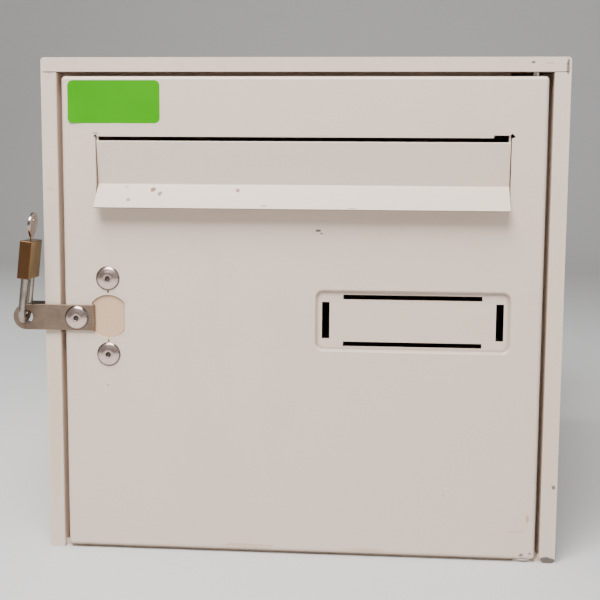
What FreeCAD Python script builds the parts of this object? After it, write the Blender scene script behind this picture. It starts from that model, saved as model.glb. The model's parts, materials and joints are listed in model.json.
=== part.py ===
"""Single letter box with a hinged door, a mail flap, a riveted hasp and a small padlock.

Frame: millimetres, +Z up, the door faces -Y. The origin is the centre of the casing's underside.
Every driving dimension is a cell of the Sizes sheet, and each piece is bound to those cells.
"""

import FreeCAD, Part
import math
import os

import Sketcher

PARTS_FOLDER = "parts"

SIZES = {
    # casing
    "CasingWidth": 300.0,
    "CasingHeight": 290.0,
    "CasingDepth": 400.0,
    "SheetThickness": 1.0,
    "FlangeWidth": 9.0,
    "FlangeReturnDepth": 14.0,
    "TopLipHeight": 8.0,
    "StopLipWidth": 11.0,
    "HingeReturnDepth": 22.0,
    "HingeStopWidth": 6.0,
    "SeamGap": 0.4,
    "CornerSliver": 0.6,
    "CasingCornerRadius": 2.0,
    "FloorSetback": 4.0,
    "FloorUpstand": 12.0,
    "FootTabWidth": 3.4,
    "FootTabHeight": 4.0,
    "BackFlange": 12.0,
    "FixingSpacingX": 200.0,
    "FixingSpacingZ": 200.0,
    "FixingHoleRadius": 3.5,
    # door
    "DoorProud": 0.6,
    "DoorSideGap": 2.8,
    "DoorTopGap": 2.6,
    "DoorBottomGap": 2.0,
    "DoorDepth": 12.0,
    "DoorEdgeRadius": 2.2,
    "HingeInset": 6.9,
    "HingePinRadius": 2.0,
    "HingePinReach": 9.0,
    "BushRadius": 3.5,
    "BushCollarRadius": 5.5,
    "BushCollarThickness": 0.6,
    "BushLength": 4.0,
    "RunningClearance": 0.05,
    # mail slot and flap
    "SlotSideMargin": 19.7,
    "SlotTopDrop": 44.7,
    "SlotHeight": 37.8,
    "SlotReliefRadius": 1.0,
    "SlotNotchLength": 10.0,
    "SlotNotchHeight": 1.5,
    "FlapEndClearance": 0.5,
    "BracketEndGap": 0.2,
    "FlapThickness": 1.0,
    "FlapTopGap": 2.4,
    "FlapTopInset": 0.5,
    "FlapBendRise": 10.5,
    "FlapBendInset": 4.0,
    "FlapLipAngle": 46.0,
    "FlapLipLength": 18.0,
    "FlapTopFlange": 3.5,
    "FlapStopHeight": 8.0,
    "FlapStopWidth": 2.0,
    "FlapStopGap": 0.3,
    "RodDrop": 3.4,
    "RodInset": 5.5,
    "RodRadius": 1.5,
    "EarDepth": 7.5,
    "BracketDepth": 9.0,
    "BracketFoot": 9.0,
    "ClipRadius": 3.0,
    "ClipThickness": 0.8,
    # nameplate recess
    "PlateRightInset": 17.9,
    "PlateBottom": 123.3,
    "PlateWidth": 110.8,
    "PlateHeight": 34.7,
    "PlateRadius": 5.0,
    "PlateDepth": 2.0,
    "PlateRimRadius": 0.9,
    "EndSlotWidth": 4.4,
    "EndSlotLength": 21.4,
    "EndSlotInset": 3.4,
    "LongSlotWidth": 2.8,
    "LongSlotLength": 79.5,
    "LongSlotInset": 2.3,
    # lock cutout, blanking plate and hasp
    "LockInset": 25.9,
    "LockHeight": 140.9,
    "LockRadius": 12.7,
    "LockHalfFlat": 9.7,
    "TabSlitGap": 0.9,
    "TabSlitHeight": 2.8,
    "TabSlitWidth": 1.0,
    "BlankWidth": 30.0,
    "BlankHeight": 62.0,
    "BlankThickness": 1.2,
    "BlankRivetSpacing": 44.8,
    "RivetHeadRadius": 7.0,
    "RivetHeadHeight": 1.9,
    "RivetShankRadius": 2.4,
    "RivetTailRadius": 3.8,
    "RivetTailLength": 4.0,
    "RivetBoreRadius": 1.5,
    "StrapHeight": 140.0,
    "StrapWidth": 15.0,
    "StrapThickness": 1.6,
    "StrapHoleOverhang": 11.3,
    "StrapHoleRadius": 4.25,
    "StrapEndMargin": 7.5,
    "StrapTailClearance": 0.2,
    "StrapEdgeRadius": 0.25,
    "StrapRivetInset": 7.4,
    "StapleGap": 7.0,
    "StapleThickness": 2.0,
    "StapleLength": 19.0,
    "StapleBase": 33.0,
    "StapleRivetRadius": 2.0,
    "StapleRivetHead": 4.0,
    # sticker
    "StickerInset": 3.8,
    "StickerDrop": 37.2,
    "StickerWidth": 53.6,
    "StickerHeight": 24.3,
    "StickerThickness": 0.15,
    "StickerRadius": 3.0,
    # padlock, measured from the strap hole along the leaning shackle
    "PadlockLean": 6.3,
    "ShackleRadius": 2.0,
    "ShackleSpacing": 12.5,
    "ShackleOffsetShare": 0.308,
    "BendHeight": 4.9,
    "CaseBottom": 23.6,
    "CaseHeight": 22.0,
    "CaseWidth": 20.0,
    "CaseThickness": 7.0,
    "ShortLegDepth": 5.5,
    "LongLegDepth": 10.5,
    "PlugRadius": 2.5,
    "PlugLength": 14.0,
    "KeywayWidth": 1.2,
    "KeyThickness": 1.0,
    "KeyBladeWidth": 2.6,
    "KeyBladeLength": 10.0,
    "KeyBladeDrop": 0.9,
    "KeywayClearance": 0.1,
    "KeyNeck": 1.6,
    "BowThickness": 1.8,
    "BowWidth": 15.0,
    "BowHeight": 15.0,
    "BowHoleRadius": 1.6,
    "PinRadius": 0.6,
    "PinPitch": 2.0,
    "FirstPinDepth": 2.6,
    "DriverPinLength": 1.9,
    "KeyPinLength": 1.35,
    "PinSpringLength": 4.3,
    "LatchThickness": 2.0,
}

# Named expressions that several pieces share.
HALF = "(Sizes.CasingWidth / 2)"
SHEET = "Sizes.SheetThickness"
CASING_FRONT = "(-Sizes.CasingDepth / 2)"
CASING_BACK = "(Sizes.CasingDepth / 2)"
DOOR_FRONT = f"({CASING_FRONT} - Sizes.DoorProud)"
DOOR_INNER = f"({DOOR_FRONT} + {SHEET})"
DOOR_HALF = f"({HALF} - Sizes.FlangeWidth - Sizes.DoorSideGap)"
DOOR_BOTTOM = "Sizes.DoorBottomGap"
DOOR_TOP = "(Sizes.CasingHeight - Sizes.TopLipHeight - Sizes.DoorTopGap)"
LIP_UNDERSIDE = "(Sizes.CasingHeight - Sizes.TopLipHeight)"
RETURN_BACK = f"({CASING_FRONT} + Sizes.FlangeReturnDepth)"
HINGE_RETURN_BACK = f"({CASING_FRONT} + Sizes.HingeReturnDepth)"
HINGE_X = f"({DOOR_HALF} - Sizes.HingeInset)"
HINGE_Y = f"({DOOR_FRONT} + Sizes.DoorDepth / 2)"
PIN_HOLE = "(Sizes.HingePinRadius + Sizes.RunningClearance)"
ROD_Y = f"({DOOR_FRONT} + Sizes.RodInset)"
ROD_HOLE = "(Sizes.RodRadius + Sizes.RunningClearance)"
SLOT_HALF = f"({DOOR_HALF} - Sizes.SlotSideMargin)"
SLOT_TOP = "(Sizes.CasingHeight - Sizes.SlotTopDrop)"
SLOT_BOTTOM = f"({SLOT_TOP} - Sizes.SlotHeight)"
FLAP_TOP = f"({SLOT_TOP} - Sizes.FlapTopGap)"
FLAP_BEND = f"({SLOT_BOTTOM} + Sizes.FlapBendRise)"
ROD_HEIGHT = f"({FLAP_TOP} - Sizes.RodDrop)"
FLAP_HALF = f"({SLOT_HALF} - Sizes.FlapEndClearance)"
BRACKET_START = f"({SLOT_HALF} + Sizes.BracketEndGap)"
PLATE_LEFT = f"({DOOR_HALF} - Sizes.PlateRightInset - Sizes.PlateWidth)"
LOCK_X = f"(-{DOOR_HALF} + Sizes.LockInset)"
STICKER_LEFT = f"(-{DOOR_HALF} + Sizes.StickerInset)"
STICKER_BOTTOM = "(Sizes.CasingHeight - Sizes.StickerDrop)"
STRAP_RIVET_X = f"(-{DOOR_HALF} + Sizes.StrapRivetInset)"
STRAP_HOLE_X = f"(-{HALF} - Sizes.StrapHoleOverhang)"
BLANK_BACK = f"({DOOR_INNER} + Sizes.BlankThickness)"
STRAP_FRONT = f"({DOOR_FRONT} - Sizes.StrapThickness)"
STRAP_TOP = "(Sizes.StrapHeight + Sizes.StrapWidth / 2)"
STRAP_BOTTOM = "(Sizes.StrapHeight - Sizes.StrapWidth / 2)"
STAPLE_FRONT = f"({CASING_FRONT} + Sizes.StapleGap)"
LEG_MIDDLE = "(Sizes.ShackleSpacing * Sizes.ShackleOffsetShare)"
CASE_TOP = "(Sizes.CaseBottom + Sizes.CaseHeight)"
LEG_NEAR = f"(Sizes.ShackleSpacing / 2 - {LEG_MIDDLE})"
LEG_FAR = f"(-Sizes.ShackleSpacing / 2 - {LEG_MIDDLE})"
LEG_BORE = "(Sizes.ShackleRadius + Sizes.RunningClearance)"
PLUG_BOTTOM = f"({CASE_TOP} - Sizes.PlugLength)"
BLADE_LOW = f"(-{LEG_MIDDLE} - Sizes.KeyBladeDrop)"
PIN_COUNT = 4

doc = FreeCAD.newDocument("LetterBox")
sheet = doc.addObject("Spreadsheet::Sheet", "Sizes")
for row, (alias, amount) in enumerate(SIZES.items(), start=1):
    sheet.set(f"A{row}", alias)
    sheet.set(f"B{row}", str(amount))
    sheet.setAlias(f"B{row}", alias)
doc.recompute()

subparts = []


def number(expression):
    """The present value of an expression on the sheet."""
    result = sheet.evalExpression(str(expression))
    return float(getattr(result, "Value", result))


def new_body(label):
    """An empty body whose label names the piece."""
    body = doc.addObject("PartDesign::Body", label)
    body.Label = label
    subparts.append(body)
    return body


def origin_item(body, role):
    """One of the body's own origin planes or axes."""
    return next(item for item in body.Origin.OriginFeatures if item.Role == role)


def new_sketch(body, role, offset="0"):
    """A sketch on an origin plane, moved along the plane's normal by an expression."""
    sketch = body.newObject("Sketcher::SketchObject", body.Label + "_sketch")
    sketch.AttachmentSupport = [(origin_item(body, role), "")]
    sketch.MapMode = "FlatFace"
    sketch.setExpression("AttachmentOffset.Base.z", str(offset))
    return sketch


def place_point(sketch, item, end, across, along):
    """Tie one sketch point to the origin with two bound distances."""
    for kind, expression in (("DistanceX", across), ("DistanceY", along)):
        rule = Sketcher.Constraint(kind, -1, 1, item, end, number(expression))
        index = sketch.addConstraint(rule)
        sketch.setExpression(f"Constraints[{index}]", str(expression))


def outline(sketch, corners):
    """A closed outline of straight lines through corners given as expressions."""
    points = [FreeCAD.Vector(number(u), number(v), 0) for u, v in corners]
    first = sketch.GeometryCount
    count = len(points)
    for i in range(count):
        sketch.addGeometry(Part.LineSegment(points[i], points[(i + 1) % count]), False)
    for i in range(count):
        joined = first + (i + 1) % count
        sketch.addConstraint(Sketcher.Constraint("Coincident", first + i, 2, joined, 1))
    for i, (u, v) in enumerate(corners):
        place_point(sketch, first + i, 1, u, v)
    return sketch


def rectangle(sketch, left, right, low, high):
    """A rectangle between two pairs of expressions."""
    return outline(sketch, [(left, low), (right, low), (right, high), (left, high)])


def circle(sketch, across, along, radius):
    """A circle with a bound centre and radius."""
    centre = FreeCAD.Vector(number(across), number(along), 0)
    item = sketch.addGeometry(Part.Circle(centre, FreeCAD.Vector(0, 0, 1), number(radius)), False)
    index = sketch.addConstraint(Sketcher.Constraint("Radius", item, number(radius)))
    sketch.setExpression(f"Constraints[{index}]", str(radius))
    place_point(sketch, item, 3, across, along)
    return sketch


def settle(feature):
    """Recompute and stop if the new feature failed."""
    doc.recompute()
    if not feature.isValid() or feature.Shape.isNull():
        raise RuntimeError(f"{feature.Label}: {feature.getStatusString()}")
    return feature


def pad(body, sketch, length, away=False):
    """Grow the sketch along its normal, or against it when away is set."""
    feature = body.newObject("PartDesign::Pad", body.Label + "_pad")
    feature.Profile = sketch
    feature.setExpression("Length", str(length))
    feature.Reversed = away
    return settle(feature)


def pocket(body, sketch, length, away=False):
    """Cut against the sketch's normal, or along it when away is set, and confirm that it cut."""
    before = body.Shape.Volume
    feature = body.newObject("PartDesign::Pocket", body.Label + "_pocket")
    feature.Profile = sketch
    feature.setExpression("Length", str(length))
    feature.Reversed = away
    settle(feature)
    if body.Shape.Volume >= before:
        raise RuntimeError(f"{feature.Label} removed nothing")
    return feature


def revolve(body, sketch, role="H_Axis"):
    """Turn a half section fully about a sketch axis."""
    feature = body.newObject("PartDesign::Revolution", body.Label + "_turn")
    feature.Profile = sketch
    feature.ReferenceAxis = (sketch, [role])
    feature.Angle = 360.0
    return settle(feature)


def runs_along(edge, axis):
    """True for a straight edge parallel to X, Y or Z, given as 0, 1 or 2."""
    if edge.Degenerated or edge.Curve.TypeId != "Part::GeomLine":
        return False
    span = edge.Vertexes[-1].Point - edge.Vertexes[0].Point
    return abs(abs(span[axis]) - span.Length) < 1e-6


def lies_at(edge, **planes):
    """True when the edge's middle has the given coordinates, written as x=, y= or z=."""
    middle = edge.BoundBox.Center
    return all(abs(getattr(middle, name) - at) < 1e-4 for name, at in planes.items())


def round_edges(body, radius, chosen, kind="PartDesign::Fillet"):
    """Fillet every edge of the body for which chosen(edge) is true."""
    base = body.Tip
    names = [f"Edge{i}" for i, edge in enumerate(base.Shape.Edges, start=1) if chosen(edge)]
    if not names:
        raise RuntimeError(f"{body.Label} has no such edge to round")
    feature = body.newObject(kind, body.Label + "_round")
    feature.Base = (base, names)
    feature.setExpression("Radius", str(radius))
    return settle(feature)


def rounded_tray(body, front, half_width, low, high, depth, radius):
    """A block with its front face towards -Y, its front and depthwise edges rounded."""
    face = new_sketch(body, "XZ_Plane", f"-({front})")
    rectangle(face, f"-{half_width}", half_width, low, high)
    pad(body, face, depth, away=True)
    near = number(front)
    round_edges(body, radius, lambda e: runs_along(e, 1) or lies_at(e, y=near))


def remove_core(body, core):
    """Cut another body's solid out of this one."""
    subparts.remove(core)
    before = body.Shape.Volume
    feature = body.newObject("PartDesign::Boolean", body.Label + "_hollow")
    feature.setObjects([core])
    feature.Type = "Cut"
    settle(feature)
    if body.Shape.Volume >= before:
        raise RuntimeError(f"{body.Label} was not hollowed")


def locate(body, across, along, up):
    """Bind the piece's Placement to three expressions."""
    for axis, expression in (("x", across), ("y", along), ("z", up)):
        body.setExpression(f"Placement.Base.{axis}", str(expression))


def lean_on_strap(body):
    """Stand a padlock piece in the strap hole, leaning towards the casing."""
    locate(body, STRAP_HOLE_X, DOOR_FRONT, "Sizes.StrapHeight")
    body.Placement.Rotation = FreeCAD.Rotation(FreeCAD.Vector(0, 1, 0), number("Sizes.PadlockLean"))
    body.setExpression("Placement.Rotation.Angle", "Sizes.PadlockLean")


def group(label, pieces):
    """One node made of several separate identical solids."""
    joined = doc.addObject("Part::Compound", label)
    joined.Label = label
    joined.Links = pieces
    for piece in pieces:
        subparts.remove(piece)
    subparts.append(joined)
    return joined


# ---------------------------------------------------------------- casing


def make_casing_wrapper():
    """Top and both sides in one folded sheet, with front flanges, returns and a stop lip."""
    body = new_body("casing_wrapper")
    inner = f"({HALF} - {SHEET})"
    roof = f"(Sizes.CasingHeight - {SHEET})"
    section = new_sketch(body, "XZ_Plane", f"-{CASING_FRONT}")
    outline(section, [
        (f"-{HALF}", "0"), (f"-{inner}", "0"), (f"-{inner}", roof), (inner, roof),
        (inner, "0"), (HALF, "0"), (HALF, "Sizes.CasingHeight"), (f"-{HALF}", "Sizes.CasingHeight"),
    ])
    pad(body, section, "Sizes.CasingDepth", away=True)
    top = number("Sizes.CasingHeight")
    side = number(HALF)
    round_edges(body, "Sizes.CasingCornerRadius",
                lambda e: runs_along(e, 1) and lies_at(e, z=top) and abs(e.BoundBox.Center.x) > side - 0.01)
    inside = number(inner)
    round_edges(body, f"Sizes.CasingCornerRadius - {SHEET} + 0.2",
                lambda e: runs_along(e, 1) and lies_at(e, z=number(roof))
                and abs(abs(e.BoundBox.Center.x) - inside) < 0.01)
    flange_edge = f"({HALF} - Sizes.FlangeWidth)"
    sides = (("-", "+ Sizes.StopLipWidth", RETURN_BACK), ("", "- Sizes.HingeStopWidth", HINGE_RETURN_BACK))
    for sign, stop_reach, back in sides:
        flange = new_sketch(body, "XY_Plane")
        edge_x = f"({sign}{flange_edge})"
        return_x = f"({sign}({flange_edge} + {SHEET}))"
        stop_x = f"({edge_x} {stop_reach})"
        points = [
            (f"{sign}{inner}", CASING_FRONT), (edge_x, CASING_FRONT), (edge_x, f"({back} - {SHEET})"),
            (stop_x, f"({back} - {SHEET})"), (stop_x, back), (return_x, back),
            (return_x, f"({CASING_FRONT} + {SHEET})"), (f"{sign}{inner}", f"({CASING_FRONT} + {SHEET})"),
        ]
        outline(flange, points)
        pad(body, flange, f"{LIP_UNDERSIDE} - Sizes.SeamGap")
    feet = new_sketch(body, "XY_Plane", SHEET)
    behind = f"({CASING_FRONT} + {SHEET})"
    rectangle(feet, f"-{inner}", f"(-{flange_edge} + Sizes.StopLipWidth)", behind,
              f"({RETURN_BACK} + {SHEET})")
    rectangle(feet, f"({flange_edge} - Sizes.HingeStopWidth)", inner, behind,
              f"({HINGE_RETURN_BACK} + {SHEET})")
    pocket(body, feet, f"{SHEET} * 2")
    lip = new_sketch(body, "YZ_Plane", f"-{inner}")
    outline(lip, [
        (CASING_FRONT, LIP_UNDERSIDE), (RETURN_BACK, LIP_UNDERSIDE),
        (RETURN_BACK, f"({LIP_UNDERSIDE} + {SHEET})"),
        (f"({CASING_FRONT} + {SHEET})", f"({LIP_UNDERSIDE} + {SHEET})"),
        (f"({CASING_FRONT} + {SHEET})", roof), (CASING_FRONT, roof),
    ])
    pad(body, lip, f"{HALF} * 2 - {SHEET} - Sizes.CornerSliver - {SHEET}")
    top_stop = new_sketch(body, "YZ_Plane", f"-({flange_edge} - {SHEET})")
    rectangle(top_stop, f"({RETURN_BACK} - {SHEET})", RETURN_BACK,
              f"({LIP_UNDERSIDE} - Sizes.StopLipWidth)", f"({LIP_UNDERSIDE} + {SHEET})")
    pad(body, top_stop, f"{flange_edge} - {SHEET} + {HINGE_X} - Sizes.DoorDepth - {SHEET}")
    tab = new_sketch(body, "XY_Plane", f"{LIP_UNDERSIDE} - Sizes.StopLipWidth")
    rectangle(tab, flange_edge, inner, f"({CASING_FRONT} + {SHEET})", f"({CASING_FRONT} + {SHEET} * 2)")
    pad(body, tab, f"Sizes.StopLipWidth + Sizes.TopLipHeight - {SHEET}")
    hole = new_sketch(body, "XY_Plane", f"{LIP_UNDERSIDE} - {SHEET}")
    circle(hole, HINGE_X, HINGE_Y, "Sizes.HingePinRadius")
    pocket(body, hole, f"{SHEET} * 3", away=True)
    front = number(CASING_FRONT)
    round_edges(body, f"{SHEET} * 0.8",
                lambda e: runs_along(e, 2) and lies_at(e, y=front)
                and abs(e.BoundBox.Center.x) < number(f"{flange_edge} + 0.01")
                and e.Length > number("Sizes.CasingHeight / 2"))
    return body


def make_floor_panel():
    """Bottom sheet with side upstands, two foot tabs and the lug for the lower hinge pin."""
    body = new_body("floor_panel")
    inner = f"({HALF} - {SHEET})"
    front = f"({CASING_FRONT} + Sizes.FloorSetback)"
    upstand_front = f"({RETURN_BACK} + {SHEET})"
    upstand_back = f"({CASING_BACK} - {SHEET} - Sizes.BackFlange)"
    lug_front = f"({HINGE_Y} - Sizes.HingePinRadius - 1.5 * {SHEET})"
    plate = new_sketch(body, "XY_Plane")
    outline(plate, [
        (f"-{inner}", front), (f"({HINGE_X} - Sizes.BushCollarRadius)", front),
        (f"({HINGE_X} - Sizes.BushCollarRadius)", lug_front),
        (f"({HINGE_X} + Sizes.BushCollarRadius)", lug_front),
        (f"({HINGE_X} + Sizes.BushCollarRadius)", front),
        (inner, front), (inner, CASING_BACK), (f"-{inner}", CASING_BACK),
    ])
    pad(body, plate, SHEET)
    for low, high in ((f"-{inner}", f"(-{inner} + {SHEET})"), (f"({inner} - {SHEET})", inner)):
        upstand = new_sketch(body, "XY_Plane")
        rectangle(upstand, low, high, upstand_front, upstand_back)
        pad(body, upstand, "Sizes.FloorUpstand")
    flange_edge = f"({HALF} - Sizes.FlangeWidth)"
    tabs = ((f"-{flange_edge}", f"(-{flange_edge} + Sizes.FootTabWidth * 0.7)"),
            (f"({flange_edge} - Sizes.FootTabWidth * 0.2)", flange_edge))
    for low, high in tabs:
        tab = new_sketch(body, "XY_Plane")
        rectangle(tab, low, high, front, f"({front} + {SHEET})")
        pad(body, tab, "Sizes.FootTabHeight")
    hole = new_sketch(body, "XY_Plane", f"{SHEET} * 2")
    circle(hole, HINGE_X, HINGE_Y, "Sizes.HingePinRadius")
    pocket(body, hole, f"{SHEET} * 3")
    return body


def make_back_panel():
    """Rear pan with a flange all round and four fixing holes."""
    body = new_body("back_panel")
    inner = f"({HALF} - {SHEET})"
    roof = f"(Sizes.CasingHeight - {SHEET})"
    outer = new_sketch(body, "XZ_Plane", f"-{CASING_BACK}")
    rectangle(outer, f"-{inner}", inner, SHEET, roof)
    pad(body, outer, f"Sizes.BackFlange + {SHEET}")
    bend = number(inner)
    height = number(roof)
    round_edges(body, f"Sizes.CasingCornerRadius - {SHEET} + 0.2",
                lambda e: runs_along(e, 1) and lies_at(e, z=height)
                and abs(abs(e.BoundBox.Center.x) - bend) < 0.01)
    hollow = new_sketch(body, "XZ_Plane", f"-({CASING_BACK} - {SHEET} - Sizes.BackFlange)")
    rectangle(hollow, f"(-{inner} + {SHEET})", f"({inner} - {SHEET})", f"{SHEET} * 2", f"({roof} - {SHEET})")
    pocket(body, hollow, "Sizes.BackFlange")
    holes = new_sketch(body, "XZ_Plane", f"-({CASING_BACK} - {SHEET} * 2)")
    for side in ("-", ""):
        for level in ("-", "+"):
            circle(holes, f"({side}Sizes.FixingSpacingX / 2)",
                   f"(Sizes.CasingHeight / 2 {level} Sizes.FixingSpacingZ / 2)", "Sizes.FixingHoleRadius")
    pocket(body, holes, f"{SHEET} * 3")
    return body


def make_hasp_staple():
    """Angle bracket on the left wall whose tab stands behind the strap's hole."""
    body = new_body("hasp_staple")
    tip = f"(-{HALF} - Sizes.StapleLength)"
    base_side = f"(-{HALF} - Sizes.StapleThickness)"
    base_back = f"({STAPLE_FRONT} + Sizes.StapleBase)"
    plan = new_sketch(body, "XY_Plane", STRAP_BOTTOM)
    outline(plan, [
        (tip, STAPLE_FRONT), (f"-{HALF}", STAPLE_FRONT), (f"-{HALF}", base_back), (base_side, base_back),
        (base_side, f"({STAPLE_FRONT} + Sizes.StapleThickness)"),
        (tip, f"({STAPLE_FRONT} + Sizes.StapleThickness)"),
    ])
    pad(body, plan, "Sizes.StrapWidth + 0.8")
    eye = new_sketch(body, "XZ_Plane", f"-({STAPLE_FRONT} - 1)")
    circle(eye, STRAP_HOLE_X, "Sizes.StrapHeight", "Sizes.StrapHoleRadius")
    pocket(body, eye, "Sizes.StapleThickness + 2")
    end = number(tip)
    round_edges(body, "Sizes.StrapWidth / 3",
                lambda e: runs_along(e, 1) and abs(e.BoundBox.Center.x - end) < 0.01)
    drill = new_sketch(body, "YZ_Plane", f"-{HALF} - Sizes.StapleThickness - 1")
    for share in ("0.4", "0.8"):
        circle(drill, f"({STAPLE_FRONT} + Sizes.StapleBase * {share})", "Sizes.StrapHeight",
               "Sizes.StapleRivetRadius")
    pocket(body, drill, "Sizes.StapleThickness + 2", away=True)
    return body


def drill_wrapper_for_staple(wrapper):
    """Rivet holes through the casing's left wall, in line with the staple's."""
    drill = new_sketch(wrapper, "YZ_Plane", f"-{HALF} - 1")
    for share in ("0.4", "0.8"):
        circle(drill, f"({STAPLE_FRONT} + Sizes.StapleBase * {share})", "Sizes.StrapHeight",
               "Sizes.StapleRivetRadius")
    pocket(wrapper, drill, f"{SHEET} + 2", away=True)


def turned(label, stations, role="YZ_Plane", axis="H_Axis"):
    """A turned solid from (along, radius) expressions, its axis on the body's Y or Z."""
    body = new_body(label)
    profile = new_sketch(body, role)
    corners = stations if axis == "H_Axis" else [(radius, along) for along, radius in stations]
    outline(profile, corners)
    revolve(body, profile, axis)
    return body


def rivet_stations(grip, head, head_height, shank, tail, tail_length, bore):
    """Half section of a pulled rivet: head in front of 0, grip and tail behind it."""
    return [
        (f"-{head_height}", bore), (f"-{head_height}", f"({head} * 0.72)"),
        (f"(-{head_height} * 0.45)", f"({head} * 0.95)"), ("0", head), ("0", shank),
        (grip, shank), (grip, tail), (f"({grip} + {tail_length} * 0.6)", tail),
        (f"({grip} + {tail_length})", shank), (f"({grip} + {tail_length})", bore),
    ]


def make_staple_rivets():
    """Two rivets that hold the staple to the wall, heads outside."""
    pieces = []
    for index, share in enumerate(("0.4", "0.8")):
        stations = rivet_stations(f"(Sizes.StapleThickness + {SHEET})", "Sizes.StapleRivetHead",
                                  "1.2", "Sizes.StapleRivetRadius", "3.0", "3.0", "0.8")
        piece = turned(f"staple_rivet_{index}", stations, role="XZ_Plane")
        locate(piece, f"(-{HALF} - Sizes.StapleThickness)",
               f"({STAPLE_FRONT} + Sizes.StapleBase * {share})", "Sizes.StrapHeight")
        pieces.append(piece)
    return group("staple_rivets", pieces)


def make_hinge_pins():
    """Headed upper pin through the top return, and lower pin riveted in the floor's lug."""
    upper = turned("upper_hinge_pin", [
        (f"({LIP_UNDERSIDE} + {SHEET} + 1.5)", "0"), (f"({LIP_UNDERSIDE} + {SHEET} + 1.5)", "Sizes.BushRadius"),
        (f"({LIP_UNDERSIDE} + {SHEET})", "Sizes.BushRadius"),
        (f"({LIP_UNDERSIDE} + {SHEET})", "Sizes.HingePinRadius"),
        (f"({LIP_UNDERSIDE} - Sizes.HingePinReach)", "Sizes.HingePinRadius"),
        (f"({LIP_UNDERSIDE} - Sizes.HingePinReach)", "0"),
    ], role="XZ_Plane", axis="V_Axis")
    locate(upper, HINGE_X, HINGE_Y, "0")
    lower = turned("lower_hinge_pin", [
        ("0", "0"), ("0", "Sizes.HingePinRadius"), ("Sizes.HingePinReach", "Sizes.HingePinRadius"),
        ("(Sizes.HingePinReach + 0.8)", "(Sizes.HingePinRadius - 0.8)"), ("(Sizes.HingePinReach + 0.8)", "0"),
    ], role="XZ_Plane", axis="V_Axis")
    locate(lower, HINGE_X, HINGE_Y, "0")
    return upper, lower


# ---------------------------------------------------------------- door


def make_door_panel():
    """Folded pan with the mail slot, lock cutout, nameplate recess and rivet holes."""
    body = new_body("door_panel")
    rounded_tray(body, DOOR_FRONT, DOOR_HALF, DOOR_BOTTOM, DOOR_TOP, "Sizes.DoorDepth", "Sizes.DoorEdgeRadius")
    core = new_body("door_core")
    rounded_tray(core, DOOR_INNER, f"({DOOR_HALF} - {SHEET})", f"({DOOR_BOTTOM} + {SHEET})",
                 f"({DOOR_TOP} - {SHEET})", "Sizes.DoorDepth", f"(Sizes.DoorEdgeRadius - {SHEET})")
    remove_core(body, core)
    boss = new_sketch(body, "XZ_Plane", f"-{DOOR_INNER}")
    rectangle(boss, f"({PLATE_LEFT} - {SHEET})", f"({PLATE_LEFT} + Sizes.PlateWidth + {SHEET})",
              f"(Sizes.PlateBottom - {SHEET})", f"(Sizes.PlateBottom + Sizes.PlateHeight + {SHEET})")
    pad(body, boss, "Sizes.PlateDepth", away=True)
    recess = new_sketch(body, "XZ_Plane", f"-{DOOR_FRONT}")
    rectangle(recess, PLATE_LEFT, f"({PLATE_LEFT} + Sizes.PlateWidth)",
              "Sizes.PlateBottom", "(Sizes.PlateBottom + Sizes.PlateHeight)")
    pocket(body, recess, "Sizes.PlateDepth")
    for margin, radius in (("0", f"Sizes.PlateRadius - {SHEET}"), (SHEET, "Sizes.PlateRadius")):
        sides = [number(f"{PLATE_LEFT} - {margin}"),
                 number(f"{PLATE_LEFT} + Sizes.PlateWidth + {margin}")]
        round_edges(body, radius, lambda e: runs_along(e, 1)
                    and min(abs(e.BoundBox.Center.x - x) for x in sides) < 0.01)
    recess_low = number("Sizes.PlateBottom") - 0.01
    recess_high = number("Sizes.PlateBottom + Sizes.PlateHeight") + 0.01
    recess_left = number(PLATE_LEFT) - 0.01
    for depth in ("0", "Sizes.PlateDepth"):
        level = number(f"{DOOR_FRONT} + {depth}")

        def around_recess(edge):
            box = edge.BoundBox
            flat = box.YLength < 1e-4 and abs(box.YMin - level) < 1e-4
            return flat and box.XMin > recess_left and box.ZMin > recess_low and box.ZMax < recess_high

        round_edges(body, "Sizes.PlateRimRadius", around_recess)
    cut_through(body, "slots", nameplate_slots)
    cut_through(body, "mail", mail_slot)
    cut_through(body, "corners", slot_corner_cuts)
    cut_through(body, "lock", lock_cutout)
    cut_through(body, "rivets", door_rivet_holes)
    hinge_holes = new_sketch(body, "XY_Plane", f"{DOOR_BOTTOM} - 1")
    circle(hinge_holes, HINGE_X, HINGE_Y, "Sizes.BushRadius")
    pocket(body, hinge_holes, f"{DOOR_TOP} - {DOOR_BOTTOM} + 2", away=True)
    return body


def cut_through(body, word, draw):
    """Cut what draw() puts on a front sketch right through the door's sheet and recess."""
    sketch = new_sketch(body, "XZ_Plane", f"-({DOOR_FRONT} - 1)")
    sketch.Label = f"{body.Label}_{word}"
    draw(sketch)
    pocket(body, sketch, f"Sizes.PlateDepth + {SHEET} + 2")


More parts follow.
